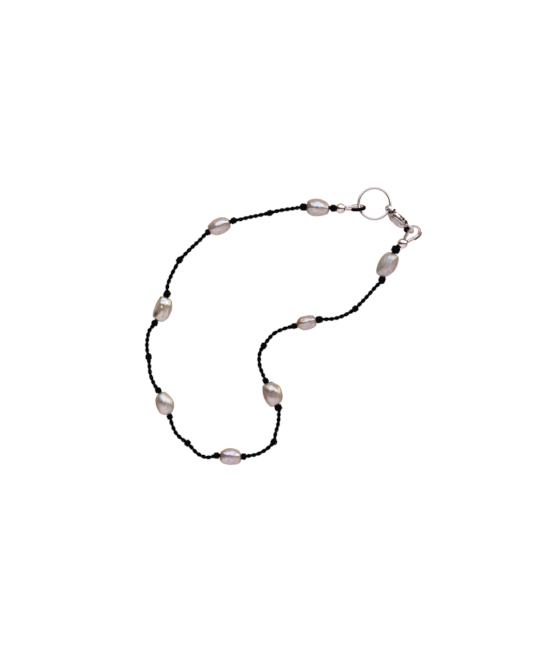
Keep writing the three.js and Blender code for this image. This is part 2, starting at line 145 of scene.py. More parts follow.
# Pearls in order from the jump ring's end: middle, size, direction of the long axis, how blunt the
# ends are, how much fatter the far end is, and how deep the waist is.
PEARL_FACTS = ("spot", "size", "turn", "blunt", "taper", "waist")
PEARLS = [
    dict(zip(PEARL_FACTS, facts))
    for facts in (
        ((11.0, 35.0), (6.9, 5.2, 5.0), -4, 0.86, -0.10, 0.0),
        ((-18.1, 29.6), (6.9, 4.9, 4.7), 26, 0.90, 0.04, 0.0),
        ((-35.6, 5.1), (7.5, 5.4, 5.2), 72, 0.84, 0.02, 0.03),
        ((-34.6, -22.9), (7.0, 5.3, 5.2), -67, 0.94, 0.03, 0.0),
        ((-15.1, -38.5), (6.5, 4.9, 4.6), 1, 0.84, -0.03, 0.0),
        ((-2.8, -20.1), (7.3, 5.7, 5.4), 116, 0.90, -0.08, 0.0),
        ((7.4, 0.9), (6.1, 4.3, 4.2), 17, 0.82, 0.00, 0.03),
        ((31.6, 18.1), (7.9, 5.4, 5.2), 58, 0.88, 0.06, 0.0),
    )
]

# Dents: pearl, direction from its middle in its own frame, depth, width.
DENTS = [
    (1, (0.7, 0.5, 0.5), 0.16, 0.10),
    (2, (-0.3, 0.7, 0.6), 0.12, 0.16),
    (3, (0.1, 0.9, 0.4), 0.40, 0.14),
    (3, (-0.6, -0.4, 0.7), 0.22, 0.07),
    (4, (0.2, -0.8, 0.6), 0.12, 0.20),
    (5, (0.1, -0.95, 0.3), 0.22, 0.12),
    (6, (0.1, 0.95, 0.3), 0.30, 0.20),
    (7, (-0.4, -0.6, 0.7), 0.14, 0.12),
    (8, (0.3, 0.5, 0.8), 0.16, 0.16),
]

# How each pearl sits and grew against its plain shape, in millimetres: along x, along y, and how
# much fuller it is.
SITS = [
    (-0.22, 0.0, 0.06), (-0.32, -0.12, 0.0), (0.40, -0.17, 0.02), (0.0, -0.08, -0.05),
    (0.0, -0.2, 0.11), (-0.01, 0.0, 0.04), (0.0, 0.04, -0.06), (-0.32, 0.02, 0.05),
]

# Uneven growth at a pearl's sides: pearl, degrees round from its long axis, how far it stands out,
# width.
SWELLS = [
    (1, 150, 0.20, 0.06), (1, 325, 0.18, 0.06), (1, 275, -0.13, 0.10), (1, 200, 0.15, 0.04),
    (2, 145, 0.28, 0.06), (2, 208, -0.20, 0.06), (2, 328, 0.18, 0.06), (2, 105, 0.10, 0.05),
    (3, 76, -0.34, 0.08), (3, 145, 0.45, 0.05), (3, 22, 0.55, 0.04), (3, 330, 0.15, 0.05),
    (4, 305, 0.27, 0.10), (4, 80, 0.10, 0.10), (4, 155, 0.35, 0.05),
    (5, 315, 0.30, 0.08), (5, 25, -0.18, 0.05), (5, 240, -0.10, 0.10),
    (6, 287, 0.33, 0.05), (6, 152, 0.38, 0.05), (6, 25, 0.26, 0.05), (6, 60, -0.10, 0.05),
    (6, 335, 0.35, 0.03), (7, 115, 0.26, 0.08), (7, 208, -0.55, 0.05), (7, 315, 0.26, 0.08),
    (7, 35, 0.20, 0.05), (7, 265, 0.13, 0.10),
    (8, 152, 0.25, 0.06), (8, 210, -0.38, 0.06), (8, 95, -0.12, 0.15), (8, 335, 0.28, 0.05),
]

# Crests where a pearl's upper side grew to a soft fold: pearl, the way across the fold, where it
# lies that way, height, width.
CRESTS = [
    (1, (0.0, 1.0, 0.0), -0.02, 0.10, 0.27), (2, (-0.05, 1.0, 0.0), 0.08, 0.085, 0.27),
    (4, (-0.92, 0.39, 0.0), 0.27, 0.02, 0.32), (5, (0.27, 0.96, 0.0), 0.18, 0.10, 0.27),
    (6, (0.90, -0.44, 0.0), 0.36, 0.07, 0.26), (7, (0.0, 1.0, 0.0), 0.12, 0.10, 0.27),
    (8, (0.0, 1.0, 0.0), -0.30, 0.13, 0.15),
]

# Painted shade: where a pearl is painted darker, towards its left side and in a few small spots: pearl, the
# way from its middle, how much, width.
PEARL_SHADES = [
    (1, (-0.95, 0.15, 0.2), 0.8, 0.16), (2, (-1.0, 0.1, 0.2), 0.5, 0.12),
    (3, (-0.5, 0.5, 0.6), 0.95, 0.05), (3, (-0.10, -0.28, 0.95), 0.30, 0.02),
    (3, (0.75, 0.5, 0.3), 0.6, 0.05), (4, (-0.45, -0.9, 0.3), 0.7, 0.16),
    (5, (-0.95, 0.25, 0.3), 0.95, 0.14), (6, (0.40, 0.90, 0.3), 0.95, 0.14),
    (6, (0.13, -0.21, 0.97), 0.6, 0.012), (7, (-0.85, 0.40, 0.4), 1.0, 0.24),
    (8, (-0.3, 0.9, 0.2), 0.35, 0.10),
]

# Small bumps and dimples on the upper side: pearl, the way from its middle, height, width.
BUMPS = [
    (1, (-0.02, 0.45, 0.85), -0.04, 0.010), (3, (-0.04, 0.14, 1.0), 0.18, 0.024),
    (3, (0.50, 0.05, 0.8), 0.06, 0.014), (3, (0.62, -0.40, 0.7), 0.05, 0.012),
    (6, (0.10, -0.20, 0.95), -0.08, 0.016), (7, (0.3, 0.25, 0.9), 0.05, 0.010),
    (7, (-0.2, 0.25, 0.9), 0.05, 0.010), (8, (0.58, 0.20, 0.78), 0.20, 0.05),
]

# Knots against each pearl: x, y and radius, before it and after it.
PEARL_KNOTS = [
    ((15.35, 34.9, 1.0), (6.6, 35.2, 1.08)),
    ((-14.2, 31.2, 0.92), (-21.8, 27.8, 0.88)),
    ((-33.9, 9.4, 1.05), (-37.5, 0.8, 0.92)),
    ((-36.5, -19.1, 0.92), (-33.1, -26.8, 0.88)),
    ((-19.2, -38.4, 0.92), (-11.2, -38.6, 0.92)),
    ((-0.9, -24.15, 1.05), (-4.7, -16.2, 0.88)),
    ((3.8, 0.0, 0.88), (11.2, 1.9, 1.05)),
    ((29.7, 13.6, 1.05), (33.75, 22.65, 1.2)),
]

# Thread between neighbours: points on the way to the middle knot, that knot with its radius, and
# the points on from there.
STRETCHES = [
    (
        [(3.6, 34.8, 2.2), (0.0, 34.3, 1.7), (-1.5, 34.0, 1.5)],
        (-3.5, 33.5, 1.4, 0.88),
        [(-6.1, 32.9, 1.5), (-9.5, 32.2, 1.8), (-12.4, 31.5, 2.2)],
    ),
    (
        [(-24.0, 25.6, 2.0), (-26.6, 23.2, 1.6), (-29.0, 20.8, 1.4)],
        (-30.2, 19.5, 1.3, 0.95),
        [(-31.3, 17.6, 1.4), (-32.8, 14.6, 1.8), (-33.8, 11.6, 2.3)],
    ),
    (
        [(-39.1, -1.3, 2.1), (-39.8, -4.4, 1.6), (-39.8, -7.2, 1.3)],
        (-39.4, -9.1, 1.3, 0.95),
        [(-39.2, -11.1, 1.4), (-38.8, -14.4, 1.9), (-37.6, -17.4, 2.4)],
    ),
    (
        [(-32.4, -29.2, 2.2), (-31.2, -31.8, 1.7), (-29.5, -33.5, 1.4)],
        (-27.8, -34.7, 1.3, 0.95),
        [(-26.1, -36.6, 1.4), (-24.7, -37.9, 1.6), (-22.1, -38.9, 2.0)],
    ),
    (
        [(-9.3, -38.4, 2.1), (-7.0, -37.9, 1.8), (-4.2, -36.3, 1.5)],
        (-2.3, -34.3, 1.3, 0.92),
        [(-1.8, -31.9, 1.4), (-1.0, -28.9, 1.8), (-0.8, -26.1, 2.3)],
    ),
    (
        [(-5.7, -13.9, 2.2), (-6.4, -11.9, 1.9), (-6.6, -9.2, 1.5), (-6.2, -7.4, 1.3)],
        (-5.3, -5.9, 1.3, 0.92),
        [(-4.4, -4.6, 1.3), (-2.3, -2.3, 1.5), (0.5, -0.9, 1.8)],
    ),
    (
        [(13.3, 2.0, 1.9), (15.7, 2.2, 1.6), (18.7, 3.2, 1.4)],
        (21.8, 5.1, 1.3, 0.92),
        [(23.2, 6.5, 1.4), (25.4, 8.8, 1.8), (27.7, 11.4, 2.3)],
    ),
]

# The two ends: middle of the silver ball, and how its guardian points, climbs and rolls over.
ENDS = {
    "ring": {"ball": (17.5, 34.8, 2.1), "heading": 1.5, "climb": 3.5, "roll": 108},
    "clasp": {"ball": (35.8, 24.4, 2.58), "heading": 45, "climb": -5, "roll": 20},
}

# The claw and the lever seen flat: a start, then curves (two handles and an end) and straight lines.
CLAW_OUTLINE = [
    [(0.95, -0.40)],
    [(1.7, -0.8), (2.5, -2.0), (4.1, -2.25)],
    [(5.6, -2.4), (7.6, -2.1), (8.9, -1.35)],
    [(9.75, -0.8), (10.0, 0.3), (9.3, 1.0)],
    [(8.7, 1.5), (7.8, 1.55), (6.75, 1.45)],
    [(7.05, 0.7)],
    [(7.8, 0.8), (8.4, 0.7), (8.7, 0.1)],
    [(8.85, -0.5), (8.1, -0.85), (7.4, -0.9)],
    [(6.6, -0.95), (6.5, -0.2), (6.0, 0.25)],
    [(5.5, 0.75), (4.9, 0.9), (4.2, 0.95)],
    [(3.9, 1.15), (3.0, 1.3), (2.3, 1.1)],
    [(1.7, 0.9), (1.6, 0.7), (0.95, 0.40)],
]
LEVER_OUTLINE = [
    [(2.05, 0.8)],
    [(2.05, 0.35), (2.5, 0.05), (3.2, 0.1)],
    [(4.4, 0.2), (5.4, 0.3), (6.85, 0.7)],
    [(6.6, 1.42)],
    [(5.8, 1.5), (5.1, 1.45), (4.6, 1.5)],
    [(4.3, 1.85), (4.0, 2.0), (3.6, 1.85)],
    [(3.3, 1.75), (3.2, 1.6), (2.9, 1.55)],
    [(2.4, 1.55), (2.05, 1.25), (2.05, 0.8)],
]


def middle_of(name):
    low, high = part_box(name)
    return (np.array(low) + np.array(high)) / 2 / MM


# The CAD's origin is the middle of the footprint, which moves all these places a little.
SHIFT = middle_of("jump_ring") - np.array(RING_SPOT)
SHIFT[2] = 0.0

# ------------------------------------------------------------------ camera

VIEW_CENTRE = (-4.87, -2.09)    # what the camera looks at, straight down
VIEW_HEIGHT = 197.1             # that it takes in from the bottom to the top of the picture
CAMERA_ABOVE = 1000.0
FOCUS_HEIGHT = 2.5
SENSOR = 36.0

camera = bpy.data.objects.new("camera", bpy.data.cameras.new("camera"))
bpy.context.scene.collection.objects.link(camera)
camera.data.sensor_width = SENSOR
camera.data.lens = SENSOR * CAMERA_ABOVE / VIEW_HEIGHT
camera.data.clip_start = 0.01
camera.data.clip_end = 20.0
camera.location = (VIEW_CENTRE[0] * MM, VIEW_CENTRE[1] * MM, (CAMERA_ABOVE + FOCUS_HEIGHT) * MM)
bpy.context.scene.camera = camera

# ------------------------------------------------------------------ materials


def linear(hex_colour):
    """An sRGB hex colour as the linear one that shaders work in."""
    parts = [int(hex_colour[i:i + 2], 16) / 255 for i in (1, 3, 5)]
    return [p / 12.92 if p <= 0.04045 else ((p + 0.055) / 1.055) ** 2.4 for p in parts] + [1.0]


def node(tree, kind, sockets=None, stops=None, **settings):
    """Adds a shader node. A socket, by its name or its number, gets a value or another node, whose
    first shown output it takes. stops are (place, colour) along a colour ramp."""
    made = tree.nodes.new("ShaderNode" + kind)
    for name, value in settings.items():
        setattr(made, name, value)
    for name, value in (sockets or {}).items():
        fits = [socket for socket in made.inputs if socket.enabled and socket.name == name]
        socket = made.inputs[name] if isinstance(name, int) else fits[0]
        if isinstance(value, bpy.types.Node):
            value = next(o for o in value.outputs if o.enabled)
        if isinstance(value, bpy.types.NodeSocket):
            tree.links.new(value, socket)
        else:
            socket.default_value = value
    for at, colour in stops or []:
        used = made.color_ramp.elements
        stop = used[len(used) - 1] if at == stops[-1][0] else used.new(at)
        if at == stops[0][0]:
            used.remove(stop)
            stop = used[0]
        stop.position = at
        stop.color = linear(colour) if isinstance(colour, str) else [colour] * 3 + [1.0]
    return made


def new_material(name):
    material = bpy.data.materials.new(name)
    material.use_nodes = True
    material.node_tree.nodes.clear()
    return material, material.node_tree


def per(size_mm):
    """The scale of a pattern on a piece in metres whose features are this many millimetres apart."""
    return 1 / (size_mm * MM)


def freshwater_nacre(name, body, warm, cool, shade, pearl_shade, smooth, seed):
    """Nacre: thin layers of aragonite that grew over each other, with nothing polished away. The eye
    gets a deep satin gloss, a slow play of grey, rose and beige, and fine growth lines. Its patterns
    are laid out in millimetres: clouds about 2.4 apart, veils 1.1, growth lines 0.2 and skin 0.4."""
    material, tree = new_material(name)
    grown = node(tree, "Attribute", attribute_name="grown").outputs["Vector"]
    at = node(tree, "VectorMath", {0: grown, 1: (seed * 7.3, seed * 3.1, seed * 5.7)}, operation="ADD")
    clouds = node(tree, "TexNoise", {"Vector": at, "Scale": 0.42, "Detail": 2.0, "Roughness": 0.5})
    clouds_seen = node(tree, "ValToRGB", {"Fac": clouds}, stops=[(0.36, 0.0), (0.62, 1.0)])
    veils = node(tree, "TexNoise", {"Vector": at, "Scale": 0.9, "Detail": 3.0, "Distortion": 0.6})
    veils_seen = node(tree, "ValToRGB", {"Fac": veils}, stops=[(0.48, 0.0), (0.70, 1.0)])
    along = node(tree, "Mapping", {"Vector": at, "Scale": (0.5, 3.2, 3.2)})
    streaks = node(tree, "TexNoise", {"Vector": along, "Scale": 1.6, "Detail": 4.0, "Roughness": 0.6})
    streaks_seen = node(tree, "ValToRGB", {"Fac": streaks}, stops=[(0.40, 0.0), (0.72, 1.0)])
    spots = node(tree, "TexVoronoi", {"Vector": at, "Scale": 0.55, "Randomness": 1.0})
    spots_seen = node(tree, "ValToRGB", {"Fac": spots.outputs["Distance"]}, stops=[(0.10, 0.6), (0.34, 0.0)])
    base = node(tree, "Mix", {"Factor": clouds_seen, "A": linear(body), "B": linear(warm)}, data_type="RGBA")
    cooler = node(tree, "Mix", {"Factor": veils_seen, "A": base, "B": linear(cool)}, data_type="RGBA")
    lined = node(tree, "Mix", {"Factor": streaks_seen, "A": cooler, "B": linear(body)}, data_type="RGBA")
    some = node(tree, "Math", {0: spots_seen, 1: 0.7}, operation="MULTIPLY")
    shaded = node(tree, "Mix", {"Factor": some, "A": lined, "B": linear(shade)}, data_type="RGBA")
    # Painted shade: the pearl_shade mark turns the colour darker towards each pearl's left side and in a few
    # small spots.
    pearl_shade_mark = node(tree, "Attribute", attribute_name="pearl_shade").outputs["Vector"]
    pearl_shade_share = node(tree, "SeparateXYZ", {"Vector": pearl_shade_mark})
    colour = node(tree, "Mix", {"Factor": pearl_shade_share, "A": shaded, "B": linear(pearl_shade)}, data_type="RGBA")
    satin = node(
        tree, "MapRange",
        {"Value": streaks, "From Min": 0.3, "From Max": 0.75, "To Min": smooth, "To Max": smooth + 0.08},
    )
    peel = node(tree, "TexNoise", {"Vector": at, "Scale": 2.6, "Detail": 3.0})
    relief = node(tree, "Math", {0: streaks, 1: peel}, operation="ADD")
    bump = node(tree, "Bump", {"Height": relief, "Strength": 0.10, "Distance": 0.04 * MM})
    shader = node(
        tree, "BsdfPrincipled",
        {
            "Base Color": colour, "Metallic": 0.80, "Roughness": satin, "IOR": 1.6,
            "Coat Weight": 0.6, "Coat Roughness": 0.6 * smooth, "Coat IOR": 1.6,
            "Thin Film Thickness": 420.0, "Thin Film IOR": 1.45, "Normal": bump,
        },
    )
    node(tree, "OutputMaterial", {"Surface": shader})
    return material


def polished_sterling(name, polish, scratch, film, silver="#f1eeea", metallic=1.0):
    """Sterling silver, cast or drawn and then tumbled and buffed. The eye gets a mirror broken by hair
    scratches, with a thin warm tarnish in patches, and painted shade in dark brown where a piece's
    painted_shade mark is set."""
    material, tree = new_material(name)
    at = node(tree, "TexCoord").outputs["Object"]
    patches = node(tree, "TexNoise", {"Vector": at, "Scale": per(1.6), "Detail": 4.0, "Roughness": 0.6})
    patches_seen = node(tree, "ValToRGB", {"Fac": patches}, stops=[(0.50, 0.0), (0.78, film)])
    film_colour = {"Factor": patches_seen, "A": linear(silver), "B": linear("#b39a86")}
    filmed = node(tree, "Mix", film_colour, data_type="RGBA")
    # Painted shade: the painted_shade mark turns the silver dark brown in the clasp's slot, its mouth and
    # its shadowed edges.
    painted_shade = node(tree, "Attribute", attribute_name="painted_shade").outputs["Vector"]
    dark = node(tree, "SeparateXYZ", {"Vector": painted_shade})
    colour = node(tree, "Mix", {"Factor": dark, "A": filmed, "B": linear("#3a2617")}, data_type="RGBA")
    turned = node(tree, "Mapping", {"Vector": at, "Rotation": (0.3, 0.5, 0.9), "Scale": (1.0, 9.0, 3.0)})
    hairs = node(tree, "TexNoise", {"Vector": turned, "Scale": per(0.9), "Detail": 5.0, "Roughness": 0.7})
    hairs_seen = node(tree, "ValToRGB", {"Fac": hairs}, stops=[(0.52, 0.0), (0.80, 1.0)])
    gloss = node(tree, "MapRange", {"Value": hairs_seen, "To Min": polish, "To Max": polish + scratch})
    dings = node(tree, "TexNoise", {"Vector": at, "Scale": per(0.7), "Detail": 2.0})
    relief = node(tree, "Math", {0: hairs, 1: 0.15, 2: dings}, operation="MULTIPLY_ADD")
    bump = node(tree, "Bump", {"Height": relief, "Strength": 0.10, "Distance": 0.05 * MM})
    shader = node(
        tree, "BsdfPrincipled",
        {"Base Color": colour, "Metallic": metallic, "Roughness": gloss, "Normal": bump},
    )
    node(tree, "OutputMaterial", {"Surface": shader})
    return material


def black_twisted_thread(name):
    """Dyed nylon filament yarn, two plies laid round each other. The eye gets a deep black with a
    faint silky glint along the filaments."""
    material, tree = new_material(name)
    lay = node(tree, "Attribute", attribute_name="lay").outputs["Vector"]
    filaments = node(tree, "TexNoise", {"Vector": lay, "Scale": 5.0, "Detail": 4.0, "Roughness": 0.65})
    worn = node(tree, "TexNoise", {"Vector": lay, "Scale": 0.35, "Detail": 2.0})
    lines_seen = node(tree, "ValToRGB", {"Fac": filaments}, stops=[(0.35, "#010101"), (0.75, "#050506")])
    colour = node(tree, "Mix", {"Factor": worn, "A": lines_seen, "B": linear("#020203")}, data_type="RGBA")
    rough = node(
        tree, "MapRange",
        {"Value": filaments, "From Min": 0.3, "From Max": 0.7, "To Min": 0.55, "To Max": 0.8},
    )
    bump = node(tree, "Bump", {"Height": filaments, "Strength": 0.6, "Distance": 0.03 * MM})
    shader = node(
        tree, "BsdfPrincipled",
        {"Base Color": colour, "Roughness": rough, "IOR": 1.5, "Specular IOR Level": 0.05, "Normal": bump},
    )
    node(tree, "OutputMaterial", {"Surface": shader})
    return material


SILVER_CAST = polished_sterling("cast_sterling_silver", 0.09, 0.14, 0.55, "#dbd4d0")
SILVER_DRAWN = polished_sterling("drawn_sterling_wire", 0.07, 0.12, 0.35, "#e2d9d6")
SILVER_TUBE = polished_sterling("rolled_sterling_tube", 0.12, 0.10, 0.3, "#e4dad2", 0.9)
SILVER_BALL = polished_sterling("seamless_sterling_ball", 0.05, 0.08, 0.25)
THREAD = black_twisted_thread("black_nylon_thread")

# ------------------------------------------------------------------ mesh helpers


def unit(vectors):
    return vectors / np.maximum(np.linalg.norm(vectors, axis=-1, keepdims=True), 1e-12)


def smoothstep(x, low, high):
    t = np.clip((x - low) / (high - low), 0, 1)
    return t * t * (3 - 2 * t)


def shell(points, joined=False):
    """Vertices and faces of one closed skin over rings of points, (rings, sides, 3) in millimetres.
    The last ring is joined to the first, or a small fan closes each end."""
    rings, sides = points.shape[:2]
    spots = points.reshape(-1, 3)
    index = np.arange(rings * sides).reshape(rings, sides)
    here, there = (index, np.roll(index, -1, axis=0)) if joined else (index[:-1], index[1:])
    quads = np.stack([here, np.roll(here, -1, 1), np.roll(there, -1, 1), there], -1).reshape(-1, 4)
    faces = quads.tolist()
    if not joined:
        first, last = rings * sides, rings * sides + 1
        spots = np.vstack([spots, points[0].mean(0), points[-1].mean(0)])
        for side in range(sides):
            after = (side + 1) % sides
            faces.append([first, index[0, after], index[0, side]])
            faces.append([last, index[-1, side], index[-1, after]])
    return spots, faces


def mesh_of(name, shells, scale=1.0):
    """One mesh from closed shells."""
    vertices, faces = [], []
    for spots, own_faces in shells:
        start = sum(len(part) for part in vertices)
        faces += [[start + corner for corner in face] for face in own_faces]
        vertices.append(spots)
    mesh = bpy.data.meshes.new(name)
    mesh.from_pydata((np.vstack(vertices) * scale).tolist(), [], faces)
    return mesh


def build(mesh, material, replaced, body="anklet", marks=None):
    """One finished piece. marks gives each vertex the values that its material reads."""
    for mark_name, values in (marks or {}).items():
        written = mesh.attributes.new(mark_name, "FLOAT_VECTOR", "POINT")
        written.data.foreach_set("vector", values.astype(np.float32).ravel())
    mesh.shade_smooth()
    mesh.materials.clear()
    mesh.materials.append(material)
    piece = bpy.data.objects.new(mesh.name, mesh)
    bpy.context.scene.collection.objects.link(piece)
    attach(piece, body)
    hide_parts(replaced)


def wire_ring(middle, out, up, radius, sides):
    """One round section of a wire or a tube."""
    around = np.linspace(0, 2 * math.pi, sides, endpoint=False)
    return middle + radius * (np.cos(around)[:, None] * out + np.sin(around)[:, None] * up)


def smooth_route(points, step):
    """The centripetal Catmull-Rom line that the CAD's threads follow, as points a step apart."""
    spots = np.array(points, float)
    spots = np.vstack([2 * spots[0] - spots[1], spots, 2 * spots[-1] - spots[-2]])
    line = []
    for i in range(1, len(spots) - 2):
        p0, p1, p2, p3 = spots[i - 1:i + 3]
        d0, d1, d2 = (max(np.linalg.norm(b - a) ** 0.5, 1e-4) for a, b in ((p0, p1), (p1, p2), (p2, p3)))
        leave = ((p1 - p0) / d0 - (p2 - p0) / (d0 + d1) + (p2 - p1) / d1) * d1
        arrive = ((p2 - p1) / d1 - (p3 - p1) / (d1 + d2) + (p3 - p2) / d2) * d1
        t = np.linspace(0, 1, 40, endpoint=False)[:, None]
        line.append(
            p1 + leave * t + (-3 * p1 + 3 * p2 - 2 * leave - arrive) * t ** 2
            + (2 * p1 - 2 * p2 + leave + arrive) * t ** 3
        )
    line = np.vstack([*line, spots[-2][None]])
    lengths = np.concatenate([[0], np.cumsum(np.linalg.norm(np.diff(line, axis=0), axis=1))])
    even = np.linspace(0, lengths[-1], max(int(lengths[-1] / step), 4) + 1)
    return np.stack([np.interp(even, lengths, line[:, k]) for k in range(3)], -1)


NEARLY_ALONG = 0.95     # cosine above which a first side is too close to the line's own direction


def frames_along(line, start=(0.0, 0.0, 1.0)):
    """Distance along a line, its direction, and two sides that turn with it as little as they can."""
    ahead = unit(np.gradient(line, axis=0))
    side = np.zeros_like(line)
    guess = np.array(start, float)
    if abs(guess @ ahead[0]) > NEARLY_ALONG:
        guess = np.array([1.0, 0.3, 0.2])
    for i, direction in enumerate(ahead):
        guess = guess - direction * (guess @ direction)
        guess = guess / np.linalg.norm(guess)
        side[i] = guess
    gone = np.concatenate([[0], np.cumsum(np.linalg.norm(np.diff(line, axis=0), axis=1))])
    return gone, ahead, side, np.cross(ahead, side)


# ------------------------------------------------------------------ thread and knots


def ply(line, out, half_out, half_side, twist=YARN_TWIST, sides=20):
    """One ply: a bundle of YARNS fine yarns that twist round it. out is the way from the thread's
    middle to the ply. Returns its shell and the marks of its filaments."""
    gone, ahead, _, _ = frames_along(line)
    out = unit(out - ahead * (out * ahead).sum(1, keepdims=True))
    side = np.cross(ahead, out)
    angle = np.linspace(0, 2 * math.pi, sides, endpoint=False)[None, :]
    lie = angle + twist * gone[:, None]
    swell = 1 + 0.05 * np.cos(YARNS * lie)
    points = (
        line[:, None, :]
        + (np.cos(angle) * swell * half_out)[..., None] * out[:, None, :]
        + (np.sin(angle) * swell * half_side)[..., None] * side[:, None, :]
    )
    along = np.broadcast_to(gone[:, None], lie.shape)
    marks = np.stack([np.cos(lie), np.sin(lie), along * 0.35 + twist], -1).reshape(-1, 3)
    return shell(points), np.vstack([marks, marks[:1], marks[-1:]])


UNEVEN_PLACES = 12      # along a thread, where its lay is a little ahead or behind


def two_plies(line, random_draw):
    """The thread: two plies laid round each other, a little unevenly."""
    gone, ahead, side, up = frames_along(line)
    drawn = [random_draw.uniform(-0.5, 0.5) for _ in range(UNEVEN_PLACES)]
    uneven = np.interp(gone, np.linspace(0, gone[-1], UNEVEN_PLACES), drawn)
    turn = 2 * math.pi * gone / LAY_LENGTH + random_draw.uniform(0, 6.28) + uneven
    made = []
    for half in (0, math.pi):
        out = np.cos(turn + half)[:, None] * side + np.sin(turn + half)[:, None] * up
        made.append(ply(line + out * PLY_OFFSET, out, *THREAD_PLY))
    return made


def knot(spot, ahead, radius, random_draw):
    """An overhand knot pulled tight: the thread's two runs twist one and a half turns round each
    other, and the loop that joins them comes back over the top."""
    ahead = unit(np.array(ahead, float))
    side = unit(np.cross(ahead, (0.0, 0.0, 1.0)))
    up = np.cross(side, ahead)
    roll = random_draw.uniform(0, 6.28)
    out = math.cos(roll) * side + math.sin(roll) * up
    over = math.cos(roll) * up - math.sin(roll) * side
    radius = KNOT_FULL * radius
    spread = KNOT_SPREAD * radius
    turn = np.linspace(-1.5 * math.pi, 1.5 * math.pi, 13)
    run = turn / (1.5 * math.pi) * (KNOT_REACH * radius)

    def strand(phase):
        return np.stack([run, spread * np.sin(turn + phase), spread * np.cos(turn + phase)], -1)

    tail = KNOT_TAIL * radius
    through = np.vstack([(-tail, 0, 0), (-0.75 * tail, 0, 0), strand(0), (0.75 * tail, 0, 0), (tail, 0, 0)])
    looped = strand(math.pi)
    over_top = radius * np.array([
        (0.52, looped[-1][1] * 0.9 / radius, 0.15), (0.46, -0.32, 0.50), (0.22, 0.15, 0.66),
        (-0.22, -0.15, 0.66), (-0.46, 0.32, 0.50), (-0.52, looped[0][1] * 0.9 / radius, 0.15),
    ])
    made = []
    for path in (through, np.vstack([looped[1:-1], over_top, looped[1:2]])):
        path = smooth_route(path, RING_STEP * 0.7)
        laid = np.array(spot) + path[:, :1] * ahead + path[:, 1:2] * out + path[:, 2:] * over
        thins = smoothstep(abs(path[:, :1]), 0.75 * radius, 1.15 * radius)
        thick = KNOT_STRAND * radius * (1 - 0.5 * thins)
        _, _, across, _ = frames_along(laid)
        made.append(ply(laid, across, thick, thick * 0.92))
    return made


def pearl_ways(row):
    """The turn of a pearl's own frame into the row frame."""
    angle = math.radians(row["turn"])
    return np.array(
        [[math.cos(angle), math.sin(angle), 0], [-math.sin(angle), math.cos(angle), 0], [0, 0, 1]]
    )


def pearl_skin(number, ways):
    """The CAD's pearl: where its surface lies in each direction, in its own frame."""
    row = PEARLS[number - 1]
    x = ways[:, 0]
    round_part = np.sqrt(np.maximum(1 - x * x, 1e-12))
    fullness = round_part ** row["blunt"] / round_part * (1 + row["taper"] * x)
    fullness = fullness * (1 - row["waist"] * np.exp(-((x / 0.3) ** 2)))
    spots = np.stack([x, ways[:, 1] * fullness, ways[:, 2] * fullness], -1) * np.array(row["size"]) / 2
    for pearl, toward, depth, spread in DENTS:
        if pearl == number:
            nearness = ways @ unit(np.array(toward))
            spots = spots - ways * (depth * np.exp((nearness - 1) / spread))[:, None]
    return spots


def pearl_top(number):
    """How far the CAD's pearl stands above its own middle."""
    angle = np.linspace(0, math.pi, 90)
    ring = np.linspace(0, 2 * math.pi, 120)
    a, r = np.meshgrid(angle, ring)
    ways = np.stack([np.cos(a), np.sin(a) * np.cos(r), np.sin(a) * np.sin(r)], -1).reshape(-1, 3)
    return pearl_skin(number, ways)[:, 2].max()


PEARL_HEIGHT = [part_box(f"pearl_{n}")[1].z / MM - pearl_top(n) for n in range(1, 9)]


def pearl_middle(number):
    return np.array([*PEARLS[number - 1]["spot"], PEARL_HEIGHT[number - 1]])


def knot_spot(number, after):
    x, y, _ = PEARL_KNOTS[number - 1][after]
    return np.array([x, y, PEARL_HEIGHT[number - 1]])


def bore_ahead(number):
    return unit(knot_spot(number, 1) - knot_spot(number, 0))


def bore_end(number, after):
    """Where a thread ends inside a pearl, just beside the next one's end."""
    middle = (knot_spot(number, 0) + knot_spot(number, 1)) / 2
    return middle + bore_ahead(number) * (BORE_GAP / 2 if after else -BORE_GAP / 2)


def lay_thread(name, line, knots, replaced, random_draw, extra=()):
    """One length of thread with its knots, as one piece."""
    pieces = two_plies(line, random_draw)
    for spot, ahead, radius in knots:
        pieces += knot(spot, ahead, radius, random_draw)
    pieces += extra
    moved = [(spots + SHIFT, faces) for (spots, faces), _ in pieces]
    marks = np.vstack([filaments for _, filaments in pieces])
    build(mesh_of(name, moved, MM), THREAD, replaced, marks={"lay": marks})


for number, (way, middle_knot, on) in enumerate(STRETCHES, 1):
    leaving, arriving = knot_spot(number, 1), knot_spot(number + 1, 0)
    route = [bore_end(number, 1), leaving, *way, middle_knot[:3], *on, arriving, bore_end(number + 1, 0)]
    lay_thread(
        f"twisted_thread_{number}",
        smooth_route(route, RING_STEP),
        [
            (leaving, bore_ahead(number), PEARL_KNOTS[number - 1][1][2]),
            (middle_knot[:3], np.array(on[0]) - np.array(way[-1]), middle_knot[3]),
            (arriving, bore_ahead(number + 1), PEARL_KNOTS[number][0][2]),
        ],
        f"thread_{number}",
        random.Random(40 + number),
    )

# ------------------------------------------------------------------ pearls

